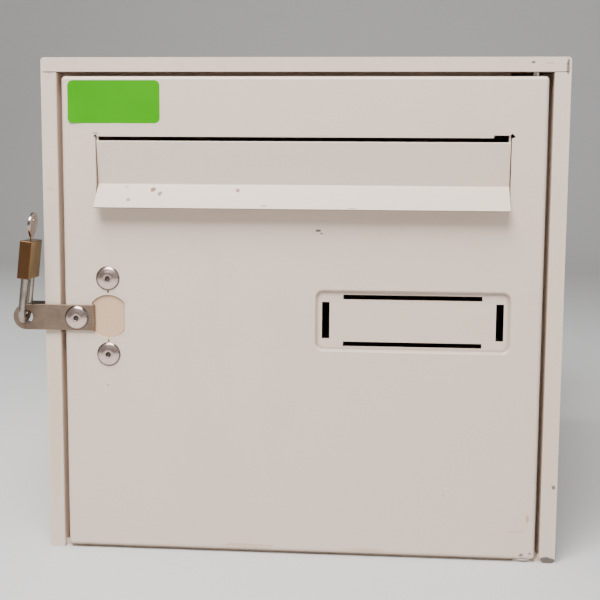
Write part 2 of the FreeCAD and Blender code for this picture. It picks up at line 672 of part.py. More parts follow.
def nameplate_slots(sketch):
    """Two upright end slots and two long slots in the recess floor."""
    middle_z = "(Sizes.PlateBottom + Sizes.PlateHeight / 2)"
    middle_x = f"({PLATE_LEFT} + Sizes.PlateWidth / 2)"
    left = f"({PLATE_LEFT} + Sizes.EndSlotInset)"
    right = f"({PLATE_LEFT} + Sizes.PlateWidth - Sizes.EndSlotInset)"
    low = f"({middle_z} - Sizes.EndSlotLength / 2)"
    high = f"({middle_z} + Sizes.EndSlotLength / 2)"
    rectangle(sketch, left, f"({left} + Sizes.EndSlotWidth)", low, high)
    rectangle(sketch, f"({right} - Sizes.EndSlotWidth)", right, low, high)
    start = f"({middle_x} - Sizes.LongSlotLength / 2)"
    stop = f"({middle_x} + Sizes.LongSlotLength / 2)"
    top = "(Sizes.PlateBottom + Sizes.PlateHeight - Sizes.LongSlotInset)"
    bottom = "(Sizes.PlateBottom + Sizes.LongSlotInset)"
    rectangle(sketch, start, stop, f"({top} - Sizes.LongSlotWidth)", top)
    rectangle(sketch, start, stop, bottom, f"({bottom} + Sizes.LongSlotWidth)")


def mail_slot(sketch):
    """The slot that the flap closes."""
    rectangle(sketch, f"-{SLOT_HALF}", SLOT_HALF, SLOT_BOTTOM, SLOT_TOP)


def slot_corner_cuts(sketch):
    """A round relief at the slot's upper left corner and a torn notch at the upper right."""
    circle(sketch, f"-{SLOT_HALF}", SLOT_TOP, "Sizes.SlotReliefRadius")
    low = f"({SLOT_TOP} - 0.5)"
    high = f"({SLOT_TOP} + Sizes.SlotNotchHeight)"
    tip = f"({SLOT_HALF} + Sizes.SlotNotchHeight * 1.4)"
    outline(sketch, [
        (f"({SLOT_HALF} - Sizes.SlotNotchLength)", low), (f"({SLOT_HALF} - 0.5)", low),
        (tip, f"({high} - Sizes.SlotNotchHeight * 0.6)"),
        (f"({SLOT_HALF} + 0.4)", f"({high} + Sizes.SlotNotchHeight * 0.7)"),
        (f"({SLOT_HALF} - 1.2)", high), (f"({SLOT_HALF} - Sizes.SlotNotchLength)", high),
    ])


def lock_cutout(sketch):
    """Round hole with two flats, drawn as two lines and two arcs."""
    centre = FreeCAD.Vector(number(LOCK_X), number("Sizes.LockHeight"), 0)
    radius = number("Sizes.LockRadius")
    flat = number("Sizes.LockHalfFlat")
    rise = math.sqrt(radius ** 2 - flat ** 2)
    swing = math.acos(flat / radius)
    left_low = centre + FreeCAD.Vector(-flat, -rise, 0)
    left_high = centre + FreeCAD.Vector(-flat, rise, 0)
    right_low = centre + FreeCAD.Vector(flat, -rise, 0)
    right_high = centre + FreeCAD.Vector(flat, rise, 0)
    ring = Part.Circle(centre, FreeCAD.Vector(0, 0, 1), radius)
    left = sketch.addGeometry(Part.LineSegment(left_low, left_high), False)
    right = sketch.addGeometry(Part.LineSegment(right_low, right_high), False)
    top = sketch.addGeometry(Part.ArcOfCircle(ring, swing, math.pi - swing), False)
    bottom = sketch.addGeometry(Part.ArcOfCircle(ring, math.pi + swing, 2 * math.pi - swing), False)
    for first, first_end, second, second_end in (
            (top, 1, right, 2), (top, 2, left, 2), (bottom, 1, left, 1), (bottom, 2, right, 1)):
        sketch.addConstraint(Sketcher.Constraint("Coincident", first, first_end, second, second_end))
    for line in (left, right):
        sketch.addConstraint(Sketcher.Constraint("Vertical", line))
    sketch.addConstraint(Sketcher.Constraint("Coincident", top, 3, bottom, 3))
    index = sketch.addConstraint(Sketcher.Constraint("Radius", top, radius))
    sketch.setExpression(f"Constraints[{index}]", "Sizes.LockRadius")
    place_point(sketch, top, 3, LOCK_X, "Sizes.LockHeight")
    for line, sign in ((left, "-"), (right, "+")):
        place = f"({LOCK_X} {sign} Sizes.LockHalfFlat)"
        index = sketch.addConstraint(Sketcher.Constraint("DistanceX", -1, 1, line, 1, number(place)))
        sketch.setExpression(f"Constraints[{index}]", place)
    slit_half = "Sizes.TabSlitWidth / 2"
    for sign in ("+", "-"):
        near = f"(Sizes.LockHeight {sign} (Sizes.LockRadius + Sizes.TabSlitGap))"
        far = f"(Sizes.LockHeight {sign} (Sizes.LockRadius + Sizes.TabSlitGap + Sizes.TabSlitHeight))"
        rectangle(sketch, f"({LOCK_X} - {slit_half})", f"({LOCK_X} + {slit_half})", near, far)


def door_rivet_holes(sketch):
    """Holes for the two blanking rivets and the strap rivet."""
    for sign in ("+", "-"):
        circle(sketch, LOCK_X, f"(Sizes.LockHeight {sign} Sizes.BlankRivetSpacing / 2)",
               "Sizes.RivetShankRadius")
    circle(sketch, STRAP_RIVET_X, "Sizes.StrapHeight", "Sizes.RivetShankRadius")


def make_lock_blanking_plate():
    """Plain plate behind the lock cutout, held by two rivets."""
    body = new_body("lock_blanking_plate")
    plate = new_sketch(body, "XZ_Plane", f"-{DOOR_INNER}")
    rectangle(plate, f"({LOCK_X} - Sizes.BlankWidth / 2 + 2)", f"({LOCK_X} + Sizes.BlankWidth / 2)",
              "(Sizes.LockHeight - Sizes.BlankHeight / 2)", "(Sizes.LockHeight + Sizes.BlankHeight / 2)")
    pad(body, plate, "Sizes.BlankThickness", away=True)
    round_edges(body, "Sizes.PlateRadius / 2", lambda e: runs_along(e, 1))
    holes = new_sketch(body, "XZ_Plane", f"-({DOOR_INNER} - 1)")
    for sign in ("+", "-"):
        circle(holes, LOCK_X, f"(Sizes.LockHeight {sign} Sizes.BlankRivetSpacing / 2)",
               "Sizes.RivetShankRadius")
    pocket(body, holes, "Sizes.BlankThickness + 2")
    return body


def large_rivet(label, grip, height, across):
    """A large-flange rivet with its head on the face given by height and its tail inside."""
    stations = rivet_stations(grip, "Sizes.RivetHeadRadius", "Sizes.RivetHeadHeight",
                              "Sizes.RivetShankRadius", "Sizes.RivetTailRadius",
                              "Sizes.RivetTailLength", "Sizes.RivetBoreRadius")
    piece = turned(label, stations)
    locate(piece, across, DOOR_FRONT, height)
    return piece


def make_blanking_rivets():
    """The two rivets above and below the lock cutout."""
    grip = f"({SHEET} + Sizes.BlankThickness)"
    pieces = []
    for index, sign in enumerate(("+", "-")):
        height = f"(Sizes.LockHeight {sign} Sizes.BlankRivetSpacing / 2)"
        pieces.append(large_rivet(f"blanking_rivet_{index}", grip, height, LOCK_X))
    return group("blanking_rivets", pieces)


def make_strap_rivet():
    """The rivet through the strap and the door's sheet."""
    grip = f"(Sizes.StrapThickness + {SHEET})"
    piece = large_rivet("strap_rivet", grip, "Sizes.StrapHeight", STRAP_RIVET_X)
    locate(piece, STRAP_RIVET_X, STRAP_FRONT, "Sizes.StrapHeight")
    return piece


def make_hasp_strap():
    """Flat strap over door edge and flange, its tail turned into the lock cutout."""
    body = new_body("hasp_strap")
    tail_outer = f"({LOCK_X} - Sizes.LockHalfFlat + Sizes.StrapTailClearance)"
    start = f"({STRAP_HOLE_X} - Sizes.StrapEndMargin)"
    plan = new_sketch(body, "XY_Plane", STRAP_BOTTOM)
    tail_back = f"({DOOR_INNER} - Sizes.StrapTailClearance)"
    bent = f"({tail_outer} + Sizes.StrapThickness)"
    outline(plan, [
        (start, STRAP_FRONT), (bent, STRAP_FRONT), (bent, tail_back), (tail_outer, tail_back),
        (tail_outer, DOOR_FRONT), (start, DOOR_FRONT),
    ])
    pad(body, plan, "Sizes.StrapWidth")
    corner_x = number(bent)
    corner_y = number(STRAP_FRONT)
    round_edges(body, "Sizes.StrapThickness * 0.9",
                lambda e: runs_along(e, 2) and lies_at(e, x=corner_x, y=corner_y))
    left = number(start)
    round_edges(body, "Sizes.StrapWidth / 2 - 0.05",
                lambda e: runs_along(e, 1) and abs(e.BoundBox.Center.x - left) < 0.01)
    holes = new_sketch(body, "XZ_Plane", f"-({STRAP_FRONT} - 1)")
    circle(holes, STRAP_HOLE_X, "Sizes.StrapHeight", "Sizes.StrapHoleRadius")
    circle(holes, STRAP_RIVET_X, "Sizes.StrapHeight", "Sizes.RivetShankRadius")
    pocket(body, holes, "Sizes.StrapThickness + 2")
    top = number(STRAP_TOP)
    low = number(STRAP_BOTTOM)
    round_edges(body, "Sizes.StrapEdgeRadius",
                lambda e: runs_along(e, 0) and lies_at(e, y=corner_y)
                and min(abs(e.BoundBox.Center.z - top), abs(e.BoundBox.Center.z - low)) < 0.01)
    return body


def make_price_sticker():
    """Thin blank label stuck on the door's upper left corner."""
    body = new_body("price_sticker")
    label = new_sketch(body, "XZ_Plane", f"-{DOOR_FRONT}")
    rectangle(label, STICKER_LEFT, f"({STICKER_LEFT} + Sizes.StickerWidth)",
              STICKER_BOTTOM, f"({STICKER_BOTTOM} + Sizes.StickerHeight)")
    pad(body, label, "Sizes.StickerThickness")
    round_edges(body, "Sizes.StickerRadius", lambda e: runs_along(e, 1))
    return body


def make_hinge_bushes():
    """Nylon bushes pressed into the door's folds, lower collar outside and upper collar inside."""
    length = f"({SHEET} + Sizes.BushLength)"
    stations = [
        ("(-Sizes.BushCollarThickness)", PIN_HOLE), ("(-Sizes.BushCollarThickness)", "Sizes.BushCollarRadius"),
        ("0", "Sizes.BushCollarRadius"), ("0", "Sizes.BushRadius"), (length, "Sizes.BushRadius"),
        (length, PIN_HOLE),
    ]
    lower = turned("lower_hinge_bush", stations, role="XZ_Plane", axis="V_Axis")
    locate(lower, HINGE_X, HINGE_Y, DOOR_BOTTOM)
    seat = f"(-{SHEET})"
    collar = f"({seat} - Sizes.BushCollarThickness)"
    end = f"({seat} - Sizes.BushLength)"
    inner_collar = "(Sizes.DoorDepth / 2 - Sizes.DoorEdgeRadius)"
    upper = turned("upper_hinge_bush", [
        ("0", PIN_HOLE), ("0", "Sizes.BushRadius"), (seat, "Sizes.BushRadius"),
        (seat, inner_collar), (collar, inner_collar),
        (collar, "Sizes.BushRadius"), (end, "Sizes.BushRadius"), (end, PIN_HOLE),
    ], role="XZ_Plane", axis="V_Axis")
    locate(upper, HINGE_X, HINGE_Y, DOOR_TOP)
    return upper, lower


def make_flap_brackets():
    """Two angle brackets inside the door that carry the flap's rod."""
    for label, sign in (("left_flap_bracket", "-"), ("right_flap_bracket", "")):
        body = new_body(label)
        near = f"({sign}({BRACKET_START}))"
        leg = f"({sign}({BRACKET_START} + {SHEET}))"
        far = f"({sign}({BRACKET_START} + Sizes.BracketFoot))"
        plan = new_sketch(body, "XY_Plane", SLOT_BOTTOM)
        outline(plan, [
            (near, DOOR_INNER), (far, DOOR_INNER), (far, f"({DOOR_INNER} + {SHEET})"),
            (leg, f"({DOOR_INNER} + {SHEET})"), (leg, f"({DOOR_INNER} + Sizes.BracketDepth)"),
            (near, f"({DOOR_INNER} + Sizes.BracketDepth)"),
        ])
        pad(body, plan, "Sizes.SlotHeight")
        hole = new_sketch(body, "YZ_Plane", f"{near}" if sign == "" else leg)
        circle(hole, ROD_Y, ROD_HEIGHT, ROD_HOLE)
        pocket(body, hole, SHEET, away=True)


def make_flap_rod():
    """Round rod on which the flap turns, with a retaining clip at each end."""
    reach = f"({BRACKET_START} + {SHEET} + Sizes.ClipThickness * 2)"
    body = new_body("flap_hinge_rod")
    end = new_sketch(body, "YZ_Plane", f"-{reach}")
    circle(end, ROD_Y, ROD_HEIGHT, "Sizes.RodRadius")
    pad(body, end, f"{reach} * 2")
    pieces = []
    for sign in ("-", ""):
        clip = new_body("rod_clip_left" if sign else "rod_clip_right")
        inner_side = f"({sign}({BRACKET_START} + {SHEET} + Sizes.RunningClearance))"
        ring = new_sketch(clip, "YZ_Plane", inner_side)
        circle(ring, ROD_Y, ROD_HEIGHT, "Sizes.ClipRadius")
        circle(ring, ROD_Y, ROD_HEIGHT, "Sizes.RodRadius")
        pad(clip, ring, "Sizes.ClipThickness", away=bool(sign))
        pieces.append(clip)
    group("rod_clips", pieces)
    return body


def make_mail_flap():
    """Folded flap: upper leaf, out-turned lip, stop behind the door sheet and two ears."""
    body = new_body("mail_flap")
    thick = "Sizes.FlapThickness"
    corner = (f"({DOOR_FRONT} + Sizes.FlapTopInset)", FLAP_TOP)
    bend = (f"({DOOR_FRONT} + Sizes.FlapBendInset)", FLAP_BEND)
    lip = (f"({bend[0]} - Sizes.FlapLipLength * cos(Sizes.FlapLipAngle))",
           f"({bend[1]} - Sizes.FlapLipLength * sin(Sizes.FlapLipAngle))")
    lip_back = (f"({lip[0]} + {thick} * sin(Sizes.FlapLipAngle))",
                f"({lip[1]} - {thick} * cos(Sizes.FlapLipAngle))")
    bend_back = (f"({bend[0]} + {thick} * 1.05)", f"({bend[1]} - {thick} * 0.35)")
    leaf_back = f"({corner[0]} + {thick})"
    flange_end = f"({corner[0]} + Sizes.FlapTopFlange)"
    profile = new_sketch(body, "YZ_Plane", f"-{FLAP_HALF}")
    outline(profile, [
        lip, lip_back, bend_back, (leaf_back, f"({corner[1]} - {thick})"),
        (flange_end, f"({corner[1]} - {thick})"), (flange_end, corner[1]), corner, bend,
    ])
    pad(body, profile, f"{FLAP_HALF} * 2")
    bend_y = number(bend[0])
    bend_z = number(bend[1])
    round_edges(body, f"{thick} * 1.5",
                lambda e: runs_along(e, 0) and lies_at(e, y=bend_y, z=bend_z))
    corner_y = number(corner[0])
    corner_z = number(corner[1])
    round_edges(body, f"{thick} * 0.6",
                lambda e: runs_along(e, 0) and lies_at(e, y=corner_y, z=corner_z))
    low = f"({bend[1]} + {thick})"
    low_front = f"({bend[0]} + {thick} * 0.6)"
    high = f"({corner[1]} + {thick} * 0.5)"
    back = f"({leaf_back} + Sizes.EarDepth)"
    stop_front = f"({DOOR_INNER} + Sizes.FlapStopGap)"
    stop_back = f"({stop_front} + Sizes.FlapStopWidth)"
    stop_top = f"({corner[1]} + Sizes.FlapStopHeight)"
    leaf_top = f"({corner[1]} - {thick} * 0.5)"
    leaf_core = f"({corner[0]} + {thick} * 0.5)"
    for offset in (f"-{FLAP_HALF}", f"({FLAP_HALF} - {thick})"):
        ear = new_sketch(body, "YZ_Plane", offset)
        outline(ear, [
            (low_front, low), (f"({back} - 2)", low), (back, f"({low} + Sizes.EarDepth)"),
            (back, f"({high} - 2)"), (f"({back} - 2)", high), (stop_back, high), (stop_back, stop_top),
            (stop_front, stop_top), (stop_front, leaf_top), (leaf_core, leaf_top),
        ])
        pad(body, ear, thick)
        hole = new_sketch(body, "YZ_Plane", offset)
        circle(hole, ROD_Y, ROD_HEIGHT, ROD_HOLE)
        pocket(body, hole, thick, away=True)
    return body


# ---------------------------------------------------------------- padlock


def make_shackle():
    """Round wire bent to a U, with one short and one long leg."""
    body = new_body("padlock_shackle")
    path = new_sketch(body, "YZ_Plane")
    near = number(LEG_NEAR)
    far = number(LEG_FAR)
    bend = number("Sizes.BendHeight")
    radius = number("Sizes.ShackleSpacing / 2")
    centre = (near + far) / 2
    top_far = number("Sizes.CaseBottom + Sizes.LongLegDepth")
    top_near = number("Sizes.CaseBottom + Sizes.ShortLegDepth")
    point = FreeCAD.Vector
    left = path.addGeometry(Part.LineSegment(point(far, top_far, 0), point(far, bend, 0)), False)
    ring = Part.Circle(point(centre, bend, 0), point(0, 0, 1), radius)
    arc = path.addGeometry(Part.ArcOfCircle(ring, math.pi, 2 * math.pi), False)
    right = path.addGeometry(Part.LineSegment(point(near, bend, 0), point(near, top_near, 0)), False)
    path.addConstraint(Sketcher.Constraint("Tangent", left, 2, arc, 1))
    path.addConstraint(Sketcher.Constraint("Tangent", arc, 2, right, 1))
    place_point(path, left, 1, LEG_FAR, "(Sizes.CaseBottom + Sizes.LongLegDepth)")
    place_point(path, left, 2, LEG_FAR, "Sizes.BendHeight")
    place_point(path, right, 2, LEG_NEAR, "(Sizes.CaseBottom + Sizes.ShortLegDepth)")
    wire = new_sketch(body, "XY_Plane", "(Sizes.CaseBottom + Sizes.LongLegDepth)")
    circle(wire, "0", LEG_FAR, "Sizes.ShackleRadius")
    doc.recompute()
    pipe = body.newObject("PartDesign::AdditivePipe", "padlock_shackle_pipe")
    pipe.Profile = wire
    pipe.Spine = path
    settle(pipe)
    lean_on_strap(body)
    return body


def make_padlock_case():
    """Solid body with two leg bores, the plug bore, the pin bores and the latch slot."""
    body = new_body("padlock_case")
    half_w = "Sizes.CaseWidth / 2"
    half_t = "Sizes.CaseThickness / 2"
    block = new_sketch(body, "XY_Plane", "Sizes.CaseBottom")
    rectangle(block, f"(-{half_t})", f"({half_t})", f"(-{LEG_MIDDLE} - {half_w})",
              f"(-{LEG_MIDDLE} + {half_w})")
    pad(body, block, "Sizes.CaseHeight")
    round_edges(body, "0.5", lambda e: True)
    legs = new_sketch(body, "XY_Plane", "Sizes.CaseBottom - 1")
    circle(legs, "0", LEG_NEAR, LEG_BORE)
    pocket(body, legs, "Sizes.ShortLegDepth + 1.5", away=True)
    long_leg = new_sketch(body, "XY_Plane", "Sizes.CaseBottom - 1")
    circle(long_leg, "0", LEG_FAR, LEG_BORE)
    pocket(body, long_leg, "Sizes.LongLegDepth + 1.5", away=True)
    plug = new_sketch(body, "XY_Plane", f"{CASE_TOP} + 1")
    circle(plug, "0", f"-{LEG_MIDDLE}", "(Sizes.PlugRadius + Sizes.RunningClearance)")
    pocket(body, plug, f"{CASE_TOP} + 1 - {PLUG_BOTTOM} + 0.5")
    pins = new_sketch(body, "XZ_Plane", LEG_MIDDLE)
    for index in range(PIN_COUNT):
        circle(pins, "0", pin_height(index), "(Sizes.PinRadius + Sizes.RunningClearance)")
    pocket(body, pins, f"{half_w} - 1", away=True)
    latch = new_sketch(body, "XY_Plane", "Sizes.CaseBottom + 2.4")
    rectangle(latch, "(-1.55)", "1.55", f"(-{LEG_MIDDLE} - 1)",
              f"({LEG_NEAR} - Sizes.ShackleRadius + 0.2)")
    pocket(body, latch, "Sizes.LatchThickness + 0.1", away=True)
    lean_on_strap(body)
    return body


def pin_height(index):
    """Height of one pin's axis, counted down from the case's key end."""
    return f"({CASE_TOP} - Sizes.FirstPinDepth - {index} * Sizes.PinPitch)"


def padlock_block(label, x_half, y_low, y_high, z_low, height):
    """A rectangular padlock piece, given in the shackle's own directions."""
    body = new_body(label)
    plan = new_sketch(body, "XY_Plane", z_low)
    rectangle(plan, f"(-{x_half})", f"({x_half})", y_low, y_high)
    pad(body, plan, height)
    return body


def make_latch():
    """Latch bolt drawn back from the short leg, with its spring behind it."""
    bolt = padlock_block("latch_bolt", "1.5", f"(-{LEG_MIDDLE} + 1.2)",
                         f"({LEG_NEAR} - Sizes.ShackleRadius - 0.3)", "(Sizes.CaseBottom + 2.45)",
                         "Sizes.LatchThickness")
    lean_on_strap(bolt)
    spring = padlock_block("latch_spring", "0.5", f"(-{LEG_MIDDLE} - 0.9)",
                           f"(-{LEG_MIDDLE} + 1.2)", "(Sizes.CaseBottom + 2.9)", "1.0")
    lean_on_strap(spring)
    return bolt, spring


def make_plug():
    """Round plug with a keyway along it."""
    body = new_body("lock_plug")
    base = new_sketch(body, "XY_Plane", PLUG_BOTTOM)
    circle(base, "0", f"-{LEG_MIDDLE}", "Sizes.PlugRadius")
    pad(body, base, "Sizes.PlugLength")
    keyway = new_sketch(body, "XY_Plane", f"{CASE_TOP} + 1")
    rectangle(keyway, "(-Sizes.KeywayWidth / 2)", "(Sizes.KeywayWidth / 2)",
              f"({BLADE_LOW} - Sizes.KeywayClearance)",
              f"({BLADE_LOW} + Sizes.KeyBladeWidth + Sizes.KeywayClearance)")
    pocket(body, keyway, "Sizes.KeyBladeLength + 1.4")
    pins = new_sketch(body, "XZ_Plane", LEG_MIDDLE)
    for index in range(PIN_COUNT):
        circle(pins, "0", pin_height(index), "(Sizes.PinRadius + Sizes.RunningClearance)")
    pocket(body, pins, "Sizes.PlugRadius + 1", away=True)
    lean_on_strap(body)
    return body


def make_pin_group(label, start, length):
    """Four small round pins or springs in a row, across the plug's axis."""
    pieces = []
    for index in range(PIN_COUNT):
        body = new_body(f"{label}_{index}")
        end = new_sketch(body, "XZ_Plane", f"(-({start}))")
        circle(end, "0", pin_height(index), "Sizes.PinRadius")
        pad(body, end, length, away=True)
        lean_on_strap(body)
        pieces.append(body)
    return group(label, pieces)


def make_key():
    """Flat key with an oval pierced bow and a thin blade in the plug."""
    body = new_body("padlock_key")
    middle = f"-{LEG_MIDDLE}"
    bow_bottom = f"({CASE_TOP} + Sizes.KeyNeck)"
    half = "Sizes.BowWidth / 2"
    bow = new_sketch(body, "YZ_Plane", "-Sizes.BowThickness / 2")
    outline(bow, [
        (f"({middle} - {half} * 0.3)", bow_bottom), (f"({middle} + {half} * 0.3)", bow_bottom),
        (f"({middle} + {half})", f"({bow_bottom} + Sizes.BowHeight * 0.45)"),
        (f"({middle} + {half})", f"({bow_bottom} + Sizes.BowHeight)"),
        (f"({middle} - {half})", f"({bow_bottom} + Sizes.BowHeight)"),
        (f"({middle} - {half})", f"({bow_bottom} + Sizes.BowHeight * 0.45)"),
    ])
    pad(body, bow, "Sizes.BowThickness")
    top = number(f"{bow_bottom} + Sizes.BowHeight")
    round_edges(body, "Sizes.BowWidth / 2 - 0.6",
                lambda e: runs_along(e, 0) and abs(e.BoundBox.Center.z - top) < 0.01)
    eye = new_sketch(body, "YZ_Plane", "-Sizes.BowThickness")
    circle(eye, f"({middle})", f"({bow_bottom} + Sizes.BowHeight * 0.68)", "Sizes.BowHoleRadius")
    pocket(body, eye, "Sizes.BowThickness * 2", away=True)
    blade = new_sketch(body, "YZ_Plane", "-Sizes.KeyThickness / 2")
    rectangle(blade, BLADE_LOW, f"({BLADE_LOW} + Sizes.KeyBladeWidth)",
              f"({CASE_TOP} - Sizes.KeyBladeLength)", f"({bow_bottom} + 1)")
    pad(body, blade, "Sizes.KeyThickness")
    lean_on_strap(body)
    return body


# ---------------------------------------------------------------- build


def build():
    """Make every piece in turn."""
    wrapper = make_casing_wrapper()
    drill_wrapper_for_staple(wrapper)
    make_floor_panel()
    make_back_panel()
    make_hasp_staple()
    make_staple_rivets()
    make_hinge_pins()
    make_door_panel()
    make_lock_blanking_plate()
    make_blanking_rivets()
    make_hasp_strap()
    make_strap_rivet()
    make_price_sticker()
    make_hinge_bushes()
    make_flap_brackets()
    make_flap_rod()
    make_mail_flap()
    make_shackle()
    make_padlock_case()
    make_latch()
    make_plug()
    driver_start = f"(-{LEG_MIDDLE} - Sizes.PlugRadius - Sizes.DriverPinLength - 0.1)"
    make_pin_group("driver_pins", driver_start, "Sizes.DriverPinLength")
    make_pin_group("key_pins", f"(-{LEG_MIDDLE} - Sizes.PlugRadius + 0.1)", "Sizes.KeyPinLength")
    make_pin_group("pin_springs", f"({driver_start} - Sizes.PinSpringLength - 0.05)", "Sizes.PinSpringLength")
    make_key()


def check():
    """Stop if any object failed or any piece is empty or invalid."""
    doc.recompute()
    for item in doc.Objects:
        if "Invalid" in item.State or "Error" in item.State:
            raise RuntimeError(f"{item.Label} failed: {item.State}")
    for piece in subparts:
        if piece.Shape.isNull() or not piece.Shape.isValid() or not piece.Shape.Solids:
            raise RuntimeError(f"{piece.Label} has no valid solid")


def export():
    """Write one file for each piece."""
    os.makedirs(PARTS_FOLDER, exist_ok=True)
    for piece in subparts:
        piece.Shape.exportStep(os.path.join(PARTS_FOLDER, piece.Label + ".step"))
        print(piece.Label, len(piece.Shape.Solids), round(piece.Shape.Volume, 1))


build()
check()
export()
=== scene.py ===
"""Looks for a single steel letter box: painted sheet, riveted hasp strap and a small brass padlock.

Pieces are placed from the CAD parts' boxes and joints. Marks in the paint are listed one by one.
"""

import json
import logging
import math
from dataclasses import dataclass, field, replace
from enum import Enum
from typing import Any, Optional, Sequence, Union

import bmesh
import bpy
from mathutils import Matrix, Vector


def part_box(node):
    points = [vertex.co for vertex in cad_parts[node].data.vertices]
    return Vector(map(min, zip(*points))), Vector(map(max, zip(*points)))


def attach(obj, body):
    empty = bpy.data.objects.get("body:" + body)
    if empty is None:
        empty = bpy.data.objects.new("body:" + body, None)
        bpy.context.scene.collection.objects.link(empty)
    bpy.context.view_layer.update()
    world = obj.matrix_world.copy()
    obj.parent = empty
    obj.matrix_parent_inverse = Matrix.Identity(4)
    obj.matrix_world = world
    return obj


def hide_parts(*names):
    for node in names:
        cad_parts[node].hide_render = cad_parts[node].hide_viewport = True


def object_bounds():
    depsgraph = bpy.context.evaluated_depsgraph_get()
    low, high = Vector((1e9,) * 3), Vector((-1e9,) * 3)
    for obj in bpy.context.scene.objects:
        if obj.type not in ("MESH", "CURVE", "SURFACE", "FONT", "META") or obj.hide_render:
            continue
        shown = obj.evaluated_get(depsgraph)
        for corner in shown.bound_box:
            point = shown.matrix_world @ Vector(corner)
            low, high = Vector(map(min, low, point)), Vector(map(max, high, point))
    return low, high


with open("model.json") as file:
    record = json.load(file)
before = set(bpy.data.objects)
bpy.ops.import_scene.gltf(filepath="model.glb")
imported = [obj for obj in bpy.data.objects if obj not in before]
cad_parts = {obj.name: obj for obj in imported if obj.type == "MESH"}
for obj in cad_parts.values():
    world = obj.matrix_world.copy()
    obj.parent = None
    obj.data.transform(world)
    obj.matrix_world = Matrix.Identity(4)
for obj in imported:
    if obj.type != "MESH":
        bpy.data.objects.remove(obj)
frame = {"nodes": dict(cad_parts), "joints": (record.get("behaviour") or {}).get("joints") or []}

LOG = logging.getLogger("letter_box")
MM = 0.001
CAD_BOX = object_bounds()

# Places of the colour sockets on a Mix node, whose names repeat for each data type.
MIX_FIRST, MIX_SECOND, MIX_RESULT = 6, 7, 2

Triple = tuple[float, float, float]
Colour = Triple
Number = Union[float, "Value"]


# ---------------- shader maths


class Value:
    """A shader socket that takes part in Python expressions."""

    def __init__(self, tree: "ShaderTree", socket: bpy.types.NodeSocket) -> None:
        """Wrap one output socket of a tree."""
        self.tree = tree
        self.socket = socket

    def _maths(self, operation: str, *terms: Number) -> "Value":
        """One Math node.

        Args:
            operation: the Math node's operation.
            terms: its inputs in order.
        Returns:
            The node's result.
        """
        node = self.tree.make("ShaderNodeMath", {"operation": operation})
        for place, term in enumerate(terms):
            self.tree.feed(node.inputs[place], term)
        return Value(self.tree, node.outputs[0])

    def __add__(self, other: Number) -> "Value":
        """Sum."""
        return self._maths("ADD", self, other)

    def __sub__(self, other: Number) -> "Value":
        """Difference."""
        return self._maths("SUBTRACT", self, other)

    def __rsub__(self, other: Number) -> "Value":
        """Reflected difference, so that 1 - mask works."""
        return self._maths("SUBTRACT", other, self)

    def __mul__(self, other: Number) -> "Value":
        """Product."""
        return self._maths("MULTIPLY", self, other)

    def __truediv__(self, other: Number) -> "Value":
        """Quotient."""
        return self._maths("DIVIDE", self, other)

    def __pow__(self, other: Number) -> "Value":
        """Power."""
        return self._maths("POWER", self, other)

    __radd__ = __add__
    __rmul__ = __mul__

    def size(self) -> "Value":
        """Absolute value."""
        return self._maths("ABSOLUTE", self)

    def most(self, other: Number) -> "Value":
        """The larger of two values."""
        return self._maths("MAXIMUM", self, other)

    def ramp(self, low: float, high: float) -> "Value":
        """A smooth step from 0 at low to 1 at high.

        Args:
            low: where the step starts.
            high: where it ends; it may be below low.
        Returns:
            The stepped value.
        """
        node = self.tree.make("ShaderNodeMapRange", {"interpolation_type": "SMOOTHSTEP"})
        low_end, high_end = (low, high) if low < high else (high, low)
        self.tree.feed(node.inputs["Value"], self)
        node.inputs["From Min"].default_value = low_end
        node.inputs["From Max"].default_value = high_end
        node.inputs["To Min"].default_value = 0.0 if low < high else 1.0
        node.inputs["To Max"].default_value = 1.0 if low < high else 0.0
        return Value(self.tree, node.outputs["Result"])


